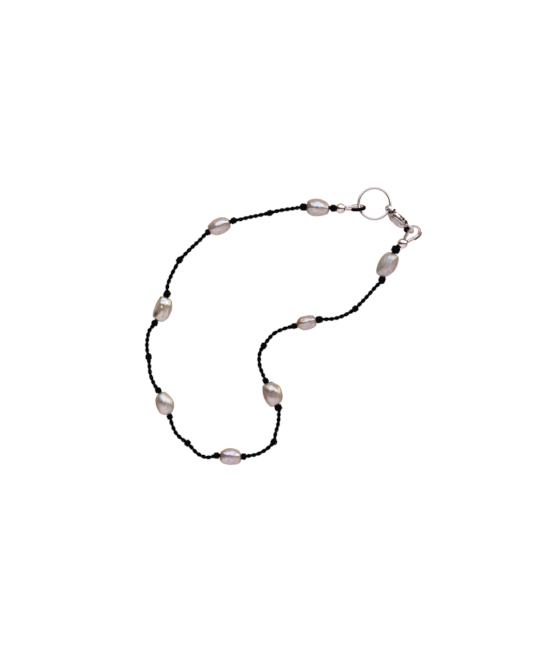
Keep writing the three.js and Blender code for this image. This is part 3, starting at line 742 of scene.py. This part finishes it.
# Colours of each pearl: the body, its warm and cool clouds, its darker spots and the colour of its painted
# shade; then how strong its slow waves and its lengthwise ridges are, in millimetres, and how smooth its
# skin is.
PEARL_LOOKS = [
    ("#bcb7b9", "#c0b39f", "#c4cbd8", "#8c7e6b", "#8f7a69", 0.045, 0.010, 0.13),
    ("#c3bbba", "#c4b7a2", "#c2c8d4", "#90816e", "#a08468", 0.045, 0.010, 0.13),
    ("#d0c9bd", "#c9bca2", "#c9ccd4", "#7d7d65", "#6c6a58", 0.09, 0.014, 0.12),
    ("#c9c6c2", "#c4bcab", "#ccd0d8", "#9c9282", "#9c8872", 0.035, 0.008, 0.26),
    ("#c5bec3", "#bfac9b", "#c7cbd8", "#8c7765", "#8a6557", 0.045, 0.010, 0.13),
    ("#c5bcb5", "#c0b29c", "#c2c4ca", "#837461", "#8c6654", 0.05, 0.010, 0.20),
    ("#bdb7ba", "#bead91", "#c9cfd8", "#8e7d64", "#a37a48", 0.05, 0.012, 0.12),
    ("#beb9b6", "#b9b09f", "#bcbfc5", "#847d72", "#8a7d74", 0.03, 0.030, 0.38),
]


def bore_exit(number, base, ahead):
    """The direction from its middle in which a pearl's bore comes out."""
    low, high = 0.0, 6.0
    for _ in range(40):
        half = (low + high) / 2
        spot = base + ahead * half
        inside = np.linalg.norm(pearl_skin(number, unit(spot)[None])) > np.linalg.norm(spot)
        low, high = (half, high) if inside else (low, half)
    return unit(base + ahead * low)


def growth(number, ways):
    """How far a pearl's swells, bumps and crests stand out of its plain shape."""
    fuller = SITS[number - 1][2]
    grown = fuller * np.sqrt(np.maximum(1 - ways[:, 2] ** 2, 0))
    for pearl, angle, height, spread in SWELLS:
        if pearl == number:
            toward = np.array([math.cos(math.radians(angle)), math.sin(math.radians(angle)), 0.15])
            grown = grown + height * np.exp((ways @ unit(toward) - 1) / spread)
    for pearl, toward, height, spread in BUMPS:
        if pearl == number:
            grown = grown + height * np.exp((ways @ unit(np.array(toward)) - 1) / spread)
    for pearl, across, lies, height, wide in CRESTS:
        if pearl == number:
            off = ways @ np.array(across) - lies + 0.04 * np.sin(7 * ways[:, 0] + number)
            grown = grown + height * np.exp(-(off / wide) ** 2) * smoothstep(ways[:, 2], 0.0, 0.5)
    return grown


def ripple(number, way, waves, ridges):
    """The skin's slow waves and its ridges along the pearl."""
    return (
        waves * noise.noise(Vector(way * 1.7) + Vector((number * 9.1, 0, 0)))
        + 0.5 * waves * noise.noise(Vector(way * 3.9) + Vector((0, number * 5.3, 0)))
        + ridges * noise.noise(Vector((way[0] * 1.5, way[1] * 9, way[2] * 9)) + Vector((0, 0, number * 3.7)))
    )


def pearl_shade_of(number, marks, size):
    """How far each point of a pearl turns to its painted shade colour, 0 to 1."""
    pearl_shade = np.zeros(len(marks))
    for pearl, toward, much, spread in PEARL_SHADES:
        if pearl == number:
            nearness = unit(marks / size) @ unit(np.array(toward))
            pearl_shade = np.maximum(pearl_shade, much * np.exp((nearness - 1) / spread))
    return np.repeat(pearl_shade[:, None], 3, axis=1)


def make_pearl(number):
    """Rings of skin from one mouth of the bore to the other, then the two mouths and the bore."""
    row = PEARLS[number - 1]
    size = np.array(row["size"])
    *colours, waves, ridges, smooth = PEARL_LOOKS[number - 1]
    turn = pearl_ways(row)
    middle = pearl_middle(number) + (*SITS[number - 1][:2], 0)
    start, end = ((knot_spot(number, after) - middle) @ turn.T for after in (1, 0))
    ahead = unit(start - end)
    aside = unit(np.cross(ahead, (0.0, 0.0, 1.0)))
    first, last = (bore_exit(number, (start + end) / 2, sign * ahead) for sign in (1, -1))
    axis, bend = (first - last) / 2, (first + last) / 2
    around = np.linspace(0, 2 * math.pi, PEARL_SIDES, endpoint=False)
    radial = np.cos(around)[:, None] * aside + np.sin(around)[:, None] * np.cross(ahead, aside)

    def ways_at(angle):
        return unit(np.cos(angle)[:, None] * axis + np.sin(angle)[:, None] * radial + bend)

    # Where the bore's lip meets the skin: the angle from the bore's axis at each of its sides.
    rims = []
    for inner, outer in ((0.001, 0.8), (math.pi - 0.001, math.pi - 0.8)):
        low, high = np.full(PEARL_SIDES, inner), np.full(PEARL_SIDES, outer)
        for _ in range(30):
            half = (low + high) / 2
            from_bore = np.cross(pearl_skin(number, ways_at(half)) - start, ahead)
            wide = np.linalg.norm(from_bore, axis=-1) > PEARL_LIP
            low, high = np.where(wide, low, half), np.where(wide, half, high)
        rims.append((low + high) / 2)
    # Rings lie closer together near the lips, and the growth is calm there.
    share = np.linspace(0, 1, PEARL_RINGS)
    share = share * 0.6 + 0.4 * (0.5 - 0.5 * np.cos(math.pi * share))
    rings, marks = [], []
    for s in share:
        ways = ways_at(rims[0] + (rims[1] - rims[0]) * s)
        calm = min(1.0, 8 * s, 8 * (1 - s))
        spots = pearl_skin(number, ways) + ways * (growth(number, ways) * calm)[:, None]
        lift = np.array([ripple(number, way, waves, ridges) for way in ways])
        rings.append(spots + ways * (lift * calm)[:, None])
        marks.append(ways * size / 2)
    # A few rings go down from each lip into the bore, which runs on through the pearl.
    mouths = []
    for sign, rim in ((-1, rings[-1]), (1, rings[0])):
        depth = (rim - start) @ ahead
        for inward, radius in PEARL_MOUTH:
            along = depth - sign * inward
            mouths.append(start + along[:, None] * ahead + radial * radius)
    steps = len(PEARL_MOUTH)
    rings += mouths[:steps] + mouths[steps:][::-1]
    marks += [marks[-1]] * steps + [marks[0]] * steps
    # What would sink below the table is pressed together above it.
    grid = np.array(rings) @ turn + middle
    lying = grid[..., 2] < LYING_HEIGHT
    low = min(grid[..., 2].min(), 0.0)
    pressed = LYING_HEIGHT * (grid[..., 2] - low) / (LYING_HEIGHT - low)
    grid[..., 2] = np.where(lying, pressed, grid[..., 2])
    marks = np.array(marks).reshape(-1, 3)
    build(
        mesh_of(f"freshwater_pearl_{number}", [shell(grid + SHIFT, joined=True)], MM),
        freshwater_nacre(f"freshwater_nacre_{number}", *colours, smooth, number),
        f"pearl_{number}", marks={"grown": marks, "pearl_shade": pearl_shade_of(number, marks, size)},
    )


for number in range(1, 9):
    make_pearl(number)

# ------------------------------------------------------------------ silver balls and guardians


def end_frame(end):
    """The ball's middle and its three ways: along the thread, across the guardian, and out of it."""
    row = ENDS[end]
    turn = (
        Matrix.Rotation(math.radians(row["heading"]), 3, "Z")
        @ Matrix.Rotation(math.radians(-row["climb"]), 3, "Y")
        @ Matrix.Rotation(math.radians(row["roll"]), 3, "X")
    )
    return np.array(row["ball"]), np.array(turn)


def to_row(points, end):
    middle, turn = end_frame(end)
    return points @ turn.T + middle


def turned_profile(profile, sides):
    """A closed outline of (along, away) turned round the x axis."""
    around = np.linspace(0, 2 * math.pi, sides, endpoint=False)
    return np.stack(
        [
            np.broadcast_to(profile[:, :1], (len(profile), sides)),
            profile[:, 1:] * np.cos(around),
            profile[:, 1:] * np.sin(around),
        ],
        -1,
    )


def silver_ball(end):
    """A seamless ball: blown from tube, with its two mouths turned in."""
    at_lip = math.asin((BALL_BORE + BALL_LIP) / BALL_RADIUS)
    arc = np.linspace(at_lip, math.pi - at_lip, 60)
    outside = np.stack([BALL_RADIUS * np.cos(arc), BALL_RADIUS * np.sin(arc)], -1)
    mouth = BALL_RADIUS * math.cos(at_lip)
    lip = np.linspace(0, math.pi / 2, 5)[1:]
    turn_in = np.stack([mouth - BALL_LIP * np.sin(lip), BALL_BORE + BALL_LIP * np.cos(lip)], -1)
    profile = np.vstack([outside, turn_in * (-1, 1), turn_in[::-1]])
    skin = shell(to_row(turned_profile(profile, BALL_SIDES), end) + SHIFT, True)
    build(mesh_of(f"silver_ball_{end}_end", [skin], MM), SILVER_BALL, f"ball_{end}_end")


def guardian_line(step):
    """The middle line of a guardian's tube, from one mouth round the bend to the other."""
    spots = [(GUARDIAN_START, GUARDIAN_MOUTHS, 0)]
    for angle in range(100, -101, -25):
        a = math.radians(angle)
        spots.append((GUARDIAN_BEND_AT + GUARDIAN_BEND * math.cos(a), GUARDIAN_BEND * math.sin(a), 0))
    spots.append((GUARDIAN_START, -GUARDIAN_MOUTHS, 0))
    return smooth_route(spots, step)


def groove_section():
    """A half round of tube, open to the outside, with rounded edges."""
    open_half = math.radians(GROOVE_OPEN)
    arc = np.linspace(open_half, 2 * math.pi - open_half, 24)
    wall = (GUARDIAN_OUTSIDE - GUARDIAN_INSIDE) / 2
    middle = (GUARDIAN_OUTSIDE + GUARDIAN_INSIDE) / 2
    edge = np.linspace(0.2, 0.8, 4) * math.pi
    section = [(GUARDIAN_OUTSIDE, a) for a in arc]
    section += [(middle + wall * math.cos(k), arc[-1] + wall * math.sin(k) / middle) for k in edge]
    section += [(GUARDIAN_INSIDE, a) for a in arc[::-1]]
    section += [(middle - wall * math.cos(k), open_half - wall * math.sin(k) / middle) for k in edge]
    return np.array([(r * math.cos(a), r * math.sin(a)) for r, a in section])


def guardian(end):
    """A wire guardian: fine tube bent to a U, with its outer half cut away round the bend."""
    line = guardian_line(0.06)
    _, ahead, _, _ = frames_along(line)
    side = np.cross(ahead, (0.0, 0.0, 1.0))      # away from the middle of the U
    side = side * np.sign((side * (line - (GUARDIAN_BEND_AT - 1.0, 0, 0))).sum(1, keepdims=True).mean())
    up = np.array([0.0, 0.0, 1.0])
    legs = line[:, 0] < GUARDIAN_GROOVE
    first, last = np.flatnonzero(np.diff(legs.astype(int)))
    # Whole tube on both legs, and the open groove between them.
    shells = []
    for run in (range(0, first + 2), range(last + 1, len(line))):
        outer = np.full(len(run), GUARDIAN_OUTSIDE)
        outer[[0, -1]] -= TUBE_EDGE
        inner = np.full(len(run), GUARDIAN_INSIDE)
        inner[[0, -1]] += TUBE_EDGE
        there = [wire_ring(line[i], side[i], up, radius, TUBE_SIDES) for i, radius in zip(run, outer)]
        back = [wire_ring(line[i], side[i], up, radius, TUBE_SIDES) for i, radius in zip(run, inner)]
        shells.append(shell(to_row(np.array(there + back[::-1]), end) + SHIFT, True))
    section = groove_section()
    groove = [line[i] + section[:, :1] * side[i] + section[:, 1:] * up for i in range(first, last + 2)]
    shells.append(shell(to_row(np.array(groove), end) + SHIFT))
    mesh = mesh_of(f"wire_guardian_{end}_end", shells, MM)
    build(mesh, SILVER_TUBE, f"guardian_{end}_end")


def end_thread(end, number, after, random_draw):
    """From the last pearl's bore to the ball, then one ply round the guardian and back."""
    enters = to_row(np.array([-BALL_RADIUS, 0, 0]), end)
    parts = to_row(np.array([STRANDS_PART[0] + 0.5, 0, 0]), end)
    spot = knot_spot(number, after)
    ahead = bore_ahead(number) * (1 if after else -1)
    line = smooth_route([bore_end(number, after), spot, enters, parts], RING_STEP)
    loop = [
        (*STRANDS_PART, 0),
        (*STRANDS_LEAVE, 0),
        *guardian_line(0.5),
        (STRANDS_LEAVE[0], -STRANDS_LEAVE[1], 0),
        (STRANDS_PART[0], -STRANDS_PART[1], 0),
    ]
    # The ply stands out of the groove where it is free of the tubes.
    flat = smooth_route(loop, RING_STEP * 0.6)
    at_sides, at_bend = GROOVE_PROUD[end]
    x, y = flat[:, :1], flat[:, 1:2]
    free = smoothstep(x, GUARDIAN_GROOVE - 0.4, GUARDIAN_GROOVE + 0.3)
    beside = np.where(y > 0, smoothstep(x, 5.0, 4.5), smoothstep(x, 6.5, 5.8))
    outward = unit(flat - (GUARDIAN_BEND_AT - 1.0, 0, 0))
    flat = flat + outward * free * (at_bend + (at_sides - at_bend) * beside)
    # The clasp's eye crosses it on one side and lifts it there.
    at_eye = np.exp(-(((flat[:, :1] - EYE_CROSSES) / EYE_REACH) ** 2)) * (flat[:, 1:2] > 0) * free
    lift = np.array(GROOVE_LIFT[end])
    loop_line = to_row(flat, end) + lift * at_eye
    _, _, side, _ = frames_along(loop_line, to_row(np.array([0, 1.0, 0]), end) - to_row(np.zeros(3), end))
    # It is thin in the tubes, and round a bend that hides it.
    full = free if at_bend > 0 else free * beside
    fuller = 0.10 * np.linalg.norm(lift) * at_eye
    thick, wide = (TUBE_THREAD + (size - TUBE_THREAD) * full + fuller for size in GROOVE_THREAD[end])
    looped = [ply(loop_line, side, thick, wide, TUBE_TWIST)]
    knots = [(spot, ahead, PEARL_KNOTS[number - 1][after][2])]
    lay_thread(f"twisted_thread_{end}_end", line, knots, f"thread_{end}_end", random_draw, looped)


for end, (number, after) in {"ring": (1, 0), "clasp": (8, 1)}.items():
    silver_ball(end)
    guardian(end)
    end_thread(end, number, after, random.Random(60 + number))

# ------------------------------------------------------------------ jump ring


def jump_ring():
    """Drawn wire bent round and cut: its two ends meet at a fine seam."""
    gap = RING_SEAM / RING_RADIUS / 2
    seam = math.radians(RING_SEAM_AT)
    angles = np.linspace(seam + gap, seam + 2 * math.pi - gap, RING_STEPS)
    angles[1] = angles[0] + RING_CUT_EDGE / RING_RADIUS
    angles[-2] = angles[-1] - RING_CUT_EDGE / RING_RADIUS
    wire = np.full(len(angles), RING_WIRE)
    wire[[0, -1]] *= 0.90
    up = np.array([0.0, 0.0, 1.0])
    rows = []
    for i, (angle, radius) in enumerate(zip(angles, wire)):
        out = np.array([math.cos(angle), math.sin(angle), 0.0])
        middle = out * RING_RADIUS + up * RING_PROUD * (i / len(angles) - 0.5)
        rows.append(wire_ring(middle, out, up, radius, RING_SIDES))
    middle, tilt = RING_HANGS
    turn = np.array(Matrix.Rotation(math.radians(-tilt), 3, "X"))
    skin = shell(np.array(rows)[:, ::-1] @ turn.T + np.array(middle) + SHIFT)
    build(mesh_of("drawn_jump_ring", [skin], MM), SILVER_DRAWN, "jump_ring")


jump_ring()

# ------------------------------------------------------------------ lobster clasp


def clasp_matrix():
    """From the clasp's own millimetres (along, across, through) to its place in the frame."""
    heading, stand = math.radians(CLASP_HEADING), math.radians(CLASP_STAND)
    along = Vector((math.cos(heading), math.sin(heading), 0))
    level = Vector((math.sin(heading), -math.cos(heading), 0))
    across = level * math.cos(stand) + Vector((0, 0, math.sin(stand)))
    through = along.cross(across)
    turn = Matrix((along, across, through)).transposed()
    at = Vector([c + s for c, s in zip(CLASP_SPOT, SHIFT)]) * MM
    return Matrix.Translation(at) @ turn.to_4x4() @ Matrix.Scale(MM, 4)


ROUND_BOW = 0.5523      # the handles that make four curves round, as a share of the radius


def outline_curve(name, outline, thickness, edge, hole=None):
    """A flat slab with rounded edges over an outline, as an object in millimetres."""
    curve = bpy.data.curves.new(name, "CURVE")
    curve.dimensions = "2D"
    curve.fill_mode = "BOTH"
    curve.extrude = thickness / 2 - edge
    curve.bevel_depth = edge
    curve.bevel_resolution = 5
    curve.offset = -edge
    curve.resolution_u = 10
    spline = curve.splines.new("BEZIER")
    knots = [step[-1] for step in outline]
    if knots[0] == knots[-1]:
        knots.pop()
    count = len(knots)
    spline.bezier_points.add(count - 1)
    spline.use_cyclic_u = True
    for point, spot in zip(spline.bezier_points, knots):
        point.handle_left_type = point.handle_right_type = "FREE"
        point.co = point.handle_left = point.handle_right = (*spot, 0)
    for i, step in enumerate(outline[1:], 1):
        if len(step) == 3:
            spline.bezier_points[(i - 1) % count].handle_right = (*step[0], 0)
            spline.bezier_points[i % count].handle_left = (*step[1], 0)
    if hole:
        x, y, radius = hole
        ring = curve.splines.new("BEZIER")
        ring.bezier_points.add(3)
        ring.use_cyclic_u = True
        for i, point in enumerate(ring.bezier_points):
            a = math.pi / 2 * i
            spot = Vector((x + radius * math.cos(a), y + radius * math.sin(a), 0))
            bow = Vector((-math.sin(a), math.cos(a), 0)) * radius * ROUND_BOW
            point.handle_left_type = point.handle_right_type = "FREE"
            point.co = spot
            point.handle_right = spot + bow
            point.handle_left = spot - bow
    made = bpy.data.objects.new(name, curve)
    bpy.context.scene.collection.objects.link(made)
    return made


def as_mesh(thing):
    """A thing's final mesh, with its modifiers applied. The thing itself is removed."""
    bpy.context.view_layer.update()
    depsgraph = bpy.context.evaluated_depsgraph_get()
    mesh = bpy.data.meshes.new_from_object(thing.evaluated_get(depsgraph), depsgraph=depsgraph)
    bpy.data.objects.remove(thing)
    return mesh


def workpiece(name, mesh):
    """An object to shape or to cut with, which is not a finished piece."""
    made = bpy.data.objects.new(name, mesh)
    bpy.context.scene.collection.objects.link(made)
    return made


def points_of(mesh):
    found = np.empty(len(mesh.vertices) * 3)
    mesh.vertices.foreach_get("co", found)
    return found.reshape(-1, 3)


def prism(corners, sides, round_edge=0.12):
    """A block over a flat outline with rounded upright edges, as a cutter."""
    spots = np.array(corners, float)
    outline = []
    for before, here, after in zip(np.roll(spots, 1, axis=0), spots, np.roll(spots, -1, axis=0)):
        start = here + unit(before - here) * round_edge
        end = here + unit(after - here) * round_edge
        for s in np.linspace(0, 1, 5):
            outline.append((1 - s) ** 2 * start + 2 * s * (1 - s) * here + s * s * end)
    return shell(np.array([[(x, y, z) for x, y in outline] for z in sides]))


def rod(x, y, radius, half, sides=32):
    """A round bar through the clasp, as a cutter."""
    along, across = np.array([1.0, 0.0, 0.0]), np.array([0.0, 1.0, 0.0])
    return shell(np.array([wire_ring((x, y, z), along, across, radius, sides) for z in (-half, half)]))


def solid(thing, grain, smooth_steps, cutters=()):
    """Welds overlapping shells to one skin, as a casting, then cuts it and softens it."""
    weld = thing.modifiers.new("weld", "REMESH")
    weld.mode = "VOXEL"
    weld.voxel_size = grain
    for index, cutter in enumerate(cutters):
        cut = thing.modifiers.new(f"cut_{index}", "BOOLEAN")
        cut.object = cutter
        cut.operation = "DIFFERENCE"
        cut.solver = "EXACT"
    if cutters:
        again = thing.modifiers.new("again", "REMESH")
        again.mode = "VOXEL"
        again.voxel_size = grain
    soften = thing.modifiers.new("soften", "SMOOTH")
    soften.factor = 0.5
    soften.iterations = smooth_steps
    mesh = as_mesh(thing)
    for cutter in cutters:
        bpy.data.objects.remove(cutter)
    return mesh


def claw():
    """Cast in one with its tail eye, then slotted and drilled for the lever."""
    slab = as_mesh(outline_curve("claw_slab", CLAW_OUTLINE, CLASP_THICKNESS, CLAW_EDGE))
    # It thins out towards the tail and the hook.
    spots = points_of(slab)
    hook = smoothstep(spots[:, 0], THICK_TO, THIN_FROM)
    tail = smoothstep(spots[:, 0], THICK_FROM, TAIL_END)
    thinned = np.maximum(hook, tail)
    spots[:, 2] *= 1 - (1 - HOOK_THICKNESS / CLASP_THICKNESS) * thinned
    spots[:, 2] += CLASP_ASIDE * (1 - thinned)
    slab.vertices.foreach_set("co", spots.ravel())
    # The tail eye is a ring of wire, joined to it.
    up = np.array([0.0, 0.0, 1.0])
    rows = []
    for angle in np.linspace(0, 2 * math.pi, EYE_STEPS, endpoint=False):
        out = np.array([math.cos(angle), math.sin(angle), 0.0])
        rows.append(wire_ring(out * EYE_RADIUS, out, up, EYE_WIRE, EYE_SIDES))
    body = workpiece("claw_body", slab)
    eye = workpiece("claw_eye", mesh_of("claw_eye", [shell(np.array(rows)[:, ::-1], True)]))
    join = body.modifiers.new("eye", "BOOLEAN")
    join.object = eye
    join.operation = "UNION"
    join.solver = "EXACT"
    joined = workpiece("claw_joined", as_mesh(body))
    bpy.data.objects.remove(eye)
    slot = workpiece("slot", mesh_of("slot", [prism(LEVER_SLOT, LEVER_SLOT_SIDES)]))
    bore = workpiece("bore", mesh_of("bore", [rod(*PIVOT, RIVET_RADIUS + RIVET_PLAY, half=3)]))
    mesh = solid(joined, CLAW_GRAIN, smooth_steps=6, cutters=[slot, bore])
    finish_clasp_piece("cast_claw", mesh, SILVER_CAST, "clasp_claw")


def lever():
    """Cast and filed: it turns on the rivet, and its nub stands up for the thumb."""
    hole = (*PIVOT, RIVET_RADIUS + RIVET_PLAY)
    slab = as_mesh(outline_curve("lever_slab", LEVER_OUTLINE, LEVER_THICKNESS, LEVER_EDGE, hole))
    slab.transform(Matrix.Translation((0, 0, LEVER_ASIDE)))
    mesh = solid(workpiece("lever_body", slab), LEVER_GRAIN, smooth_steps=4)
    finish_clasp_piece("cast_lever", mesh, SILVER_CAST, "clasp_lever", "lever")


def rivet():
    """A pin with both ends peened to low domes."""
    half = CLASP_THICKNESS / 2 - RIVET_SUNK - RIVET_DOME
    quarter = np.linspace(0, math.pi / 2, 7)
    away = np.maximum(RIVET_RADIUS * np.sin(quarter), 0.004)
    dome = np.stack([half + RIVET_DOME * np.cos(quarter), away], -1)
    profile = np.vstack([dome, dome[::-1] * (-1, 1)])
    along, x, y = np.moveaxis(turned_profile(profile, 36), -1, 0)
    points = np.stack([x + PIVOT[0], y + PIVOT[1], along + CLASP_ASIDE], -1)
    finish_clasp_piece("peened_rivet", mesh_of("rivet", [shell(points)]), SILVER_DRAWN, "clasp_pin")


# Painted shade on the clasp: its slot, its mouth, the hook's end, the far edge and the lever's nub, tip and
# far side are painted dark where shade falls between the parts. Each place is where all of its borders
# overlap: a border has an axis of the clasp (0 along, 1 across, 2 through), where it begins and where it is
# full.
SLOT_LOW, SLOT_HIGH = LEVER_SLOT_SIDES
CLAW_PAINTED_SHADE = {
    "slot": [
        (2, SLOT_LOW + 0.08, SLOT_LOW + 0.25), (2, SLOT_HIGH + 0.06, SLOT_HIGH - 0.02),
        (0, 1.6, 1.8), (0, 6.6, 6.2), (1, 0.75, 0.45),
    ],
    "mouth": [(2, -0.58, -0.42), (0, 5.6, 6.0), (0, 9.0, 8.85), (1, 0.75, 0.60), (1, -1.15, -1.02)],
    "far_edge": [(2, 0.40, 0.55), (1, 0.35, 0.60), (0, 1.3, 1.7), (0, 6.4, 5.6)],
    "hook_end": [(0, 7.60, 7.35), (0, 6.1, 6.3), (1, 0.40, 0.55)],
}
LEVER_PAINTED_SHADE = {
    "nub": [(0, 4.9, 4.1), (2, -0.45, -0.2)],
    "far_side": [(2, 0.04, 0.14)],
    "tip": [(0, 6.0, 6.3), (2, -0.5, -0.3)],
}


def painted_shade_of(spots, places):
    """How much painted shade a clasp piece gets at each of its points, 0 to 1. A few places fade in waves.
    """
    along = spots[:, 0]
    found = {
        name: np.prod([smoothstep(spots[:, axis], begins, full) for axis, begins, full in borders], axis=0)
        for name, borders in places.items()
    }
    if "slot" in found:
        found["slot"] *= 0.35 + 0.65 * smoothstep(along, 4.5, 5.2)
        found["far_edge"] *= 0.90 + 0.10 * np.sin(9.0 * along + 2.0 * np.sin(4.0 * along))
    if "nub" in found:
        found["nub"] *= 0.875 + 0.125 * np.sin(8.0 * along + 2.0 * np.sin(3.0 * along))
    return np.maximum.reduce(list(found.values()))


def finish_clasp_piece(name, mesh, material, replaced, body="anklet"):
    # Painted shade on the claw and the lever, read by the silver as its painted_shade mark.
    shade_places = {"cast_claw": CLAW_PAINTED_SHADE, "cast_lever": LEVER_PAINTED_SHADE}.get(name)
    marks = None
    if shade_places:
        painted_shade = painted_shade_of(points_of(mesh), shade_places)
        marks = {"painted_shade": np.repeat(painted_shade[:, None], 3, axis=1)}
    mesh.transform(clasp_matrix())
    mesh.name = name
    build(mesh, material, replaced, body, marks)


claw()
lever()
rivet()

# ------------------------------------------------------------------ floor and light

CARD_HALF = 4.0     # metres
CARD_GLOW = 0.88    # lights the card to just white, so that fine things keep their width against it


def white_card():
    """Matt white card with the faintest tooth. Polished things mirror the darker room below its
    edge in its place, as they do when they are held just clear of a table."""
    material, tree = new_material("matt_white_card")
    at = node(tree, "TexCoord").outputs["Object"]
    tooth = node(tree, "TexNoise", {"Vector": at, "Scale": per(4.0), "Detail": 3.0})
    tones = {"Factor": tooth, "A": linear("#fbfaf9"), "B": linear("#f7f6f5")}
    colour = node(tree, "Mix", tones, data_type="RGBA")
    seen = node(tree, "LightPath")
    straight = seen.outputs["Is Camera Ray"]
    shown = node(tree, "Mix", {"Factor": straight, "A": colour, "B": linear("#616161")}, data_type="RGBA")
    glow = node(tree, "MapRange", {"Value": straight, "To Max": CARD_GLOW})
    card = node(
        tree, "BsdfPrincipled",
        {
            "Base Color": shown, "Roughness": 0.9, "Specular IOR Level": 0.1,
            "Emission Color": linear("#ffffff"), "Emission Strength": glow,
        },
    )
    clear = node(tree, "BsdfTransparent")
    shader = node(tree, "MixShader", {0: seen.outputs["Is Glossy Ray"], 1: card, 2: clear})
    node(tree, "OutputMaterial", {"Surface": shader})
    return material


floor_mesh = bpy.data.meshes.new("white_card")
floor_mesh.from_pydata(
    [(x * CARD_HALF, y * CARD_HALF, 0) for x, y in ((-1, -1), (1, -1), (1, 1), (-1, 1))], [], [(0, 1, 2, 3)]
)
floor_mesh.materials.append(white_card())
card = bpy.data.objects.new("white_card", floor_mesh)
bpy.context.scene.collection.objects.link(card)

# A studio: one tall window behind the object, bluish on the left of its bar and warm on the right,
# a dark brown ceiling with the camera in it, and rose walls in front.
world = bpy.data.worlds.new("studio")
bpy.context.scene.world = world
world.use_nodes = True
world.node_tree.nodes.clear()
sky = world.node_tree
to_right, to_back, to_top = node(
    sky, "SeparateXYZ", {"Vector": node(sky, "TexCoord").outputs["Generated"]}
).outputs
to_side = node(sky, "Math", {0: to_right}, operation="ABSOLUTE")
jamb = node(sky, "Math", {0: to_back, 1: 1.15, 2: to_right}, operation="MULTIPLY_ADD")
bar = node(
    sky, "ValToRGB", {"Fac": to_right}, stops=[(0.38, 1.0), (0.42, 0.6), (0.46, 0.6), (0.50, 1.0)]
)

# Soft borders in the room: which way they lie, where each begins and where it is full.
BORDERS = {
    "right_half": (to_right, 0.0, 0.35),
    "side_walls": (to_side, 0.5, 0.95),
    "over_table": (to_top, -0.08, 0.05),
    "warm_pane": (to_right, 0.36, 0.55),
    "window_back": (to_back, 0.28, 0.41),
    "window_sill": (to_top, 0.03, 0.34),
    "window_jamb": (jamb, 0.0, 0.18),
    "door_side": (to_right, 0.62, 0.80),
    "door_back": (to_back, 0.10, 0.30),
    "door_foot": (to_top, -0.50, -0.30),
    "door_head": (to_top, 0.62, 0.40),
}
border = {}
for name, (way, begins, full) in BORDERS.items():
    ends = {"Value": way, "From Min": begins, "From Max": full}
    border[name] = node(sky, "MapRange", ends, interpolation_type="SMOOTHSTEP")

# Where several of them overlap, with how bright each opening is. The side walls come in twice, so
# that they begin more slowly.
OPENINGS = {
    "sides": [border["side_walls"], border["side_walls"]],
    "window": [border["window_back"], border["window_sill"], border["window_jamb"], bar],
    "door": [border["door_side"], border["door_back"], border["door_foot"], border["door_head"], 0.72],
}
opening = {}
for name, (share, *others) in OPENINGS.items():
    for other in others:
        share = node(sky, "Math", {0: share, 1: other}, operation="MULTIPLY")
    opening[name] = share
lit = node(sky, "Math", {0: opening["window"], 1: opening["door"]}, operation="MAXIMUM")

# The room's colours from the front to the back: its two sides, and what lies under the table.
LEFT_WALL = [
    (0.0, "#dcd2de"), (0.12, "#f2eaf6"), (0.30, "#dccfd9"), (0.38, "#9c8074"), (0.44, "#5c3a25"),
    (0.52, "#3c2112"), (0.60, "#4f301b"), (1.0, "#b09a88"),
]
RIGHT_WALL = [
    (0.0, "#d4cbd8"), (0.16, "#ddd3df"), (0.34, "#c6b5b7"), (0.44, "#937561"), (0.55, "#70523b"),
    (0.66, "#937c69"), (1.0, "#b3a99f"),
]
UNDER_TABLE = [(0.0, "#d8ccd4"), (0.30, "#c6b4b0"), (0.50, "#ad917a"), (0.75, "#c8ac92"), (1.0, "#dcbfa0")]
SIDE_WALLS = linear("#9c7d66")
COOL_PANE = linear("#d5e4ff")
WARM_PANE = linear("#faf8f2")
BACKDROP = linear("#f2f1f0")
ROOM_POWER = 1.08
WINDOW_POWER = 2.0

front_to_back = node(sky, "MapRange", {"Value": to_back, "From Min": -1.0, "From Max": 1.0})
left, right, under = (
    node(sky, "ValToRGB", {"Fac": front_to_back}, stops=colours)
    for colours in (LEFT_WALL, RIGHT_WALL, UNDER_TABLE)
)
above = node(sky, "Mix", {"Factor": border["right_half"], "A": left, "B": right}, data_type="RGBA")
below = node(sky, "Mix", {"Factor": opening["sides"], "A": under, "B": SIDE_WALLS}, data_type="RGBA")
room = node(sky, "Mix", {"Factor": border["over_table"], "A": below, "B": above}, data_type="RGBA")
pane = node(sky, "Mix", {"Factor": border["warm_pane"], "A": COOL_PANE, "B": WARM_PANE}, data_type="RGBA")
studio = node(sky, "Mix", {"Factor": lit, "A": room, "B": pane}, data_type="RGBA")
straight = node(sky, "LightPath").outputs["Is Camera Ray"]
shown = node(sky, "Mix", {"Factor": straight, "A": studio, "B": BACKDROP}, data_type="RGBA")
power = node(sky, "MapRange", {"Value": lit, "To Min": ROOM_POWER, "To Max": WINDOW_POWER})
light = node(sky, "Background", {"Color": shown, "Strength": power})
node(sky, "OutputWorld", {"Surface": light})

# A wide soft box overhead, hung so that nothing mirrors it.
SOFT_BOX = 1.6
SOFT_BOX_ABOVE = 1.3
SOFT_BOX_POWER = 23.0
lamp = bpy.data.lights.new("soft_box", "AREA")
lamp.shape = "DISK"
lamp.size = SOFT_BOX
lamp.energy = SOFT_BOX_POWER
lamp.color = linear("#fffaf4")[:3]
soft_box = bpy.data.objects.new("soft_box", lamp)
soft_box.location = (0, 0, SOFT_BOX_ABOVE)
soft_box.visible_glossy = False
soft_box.visible_camera = False
bpy.context.scene.collection.objects.link(soft_box)

bpy.context.scene.view_settings.view_transform = "Standard"
bpy.context.scene.view_settings.look = "None"
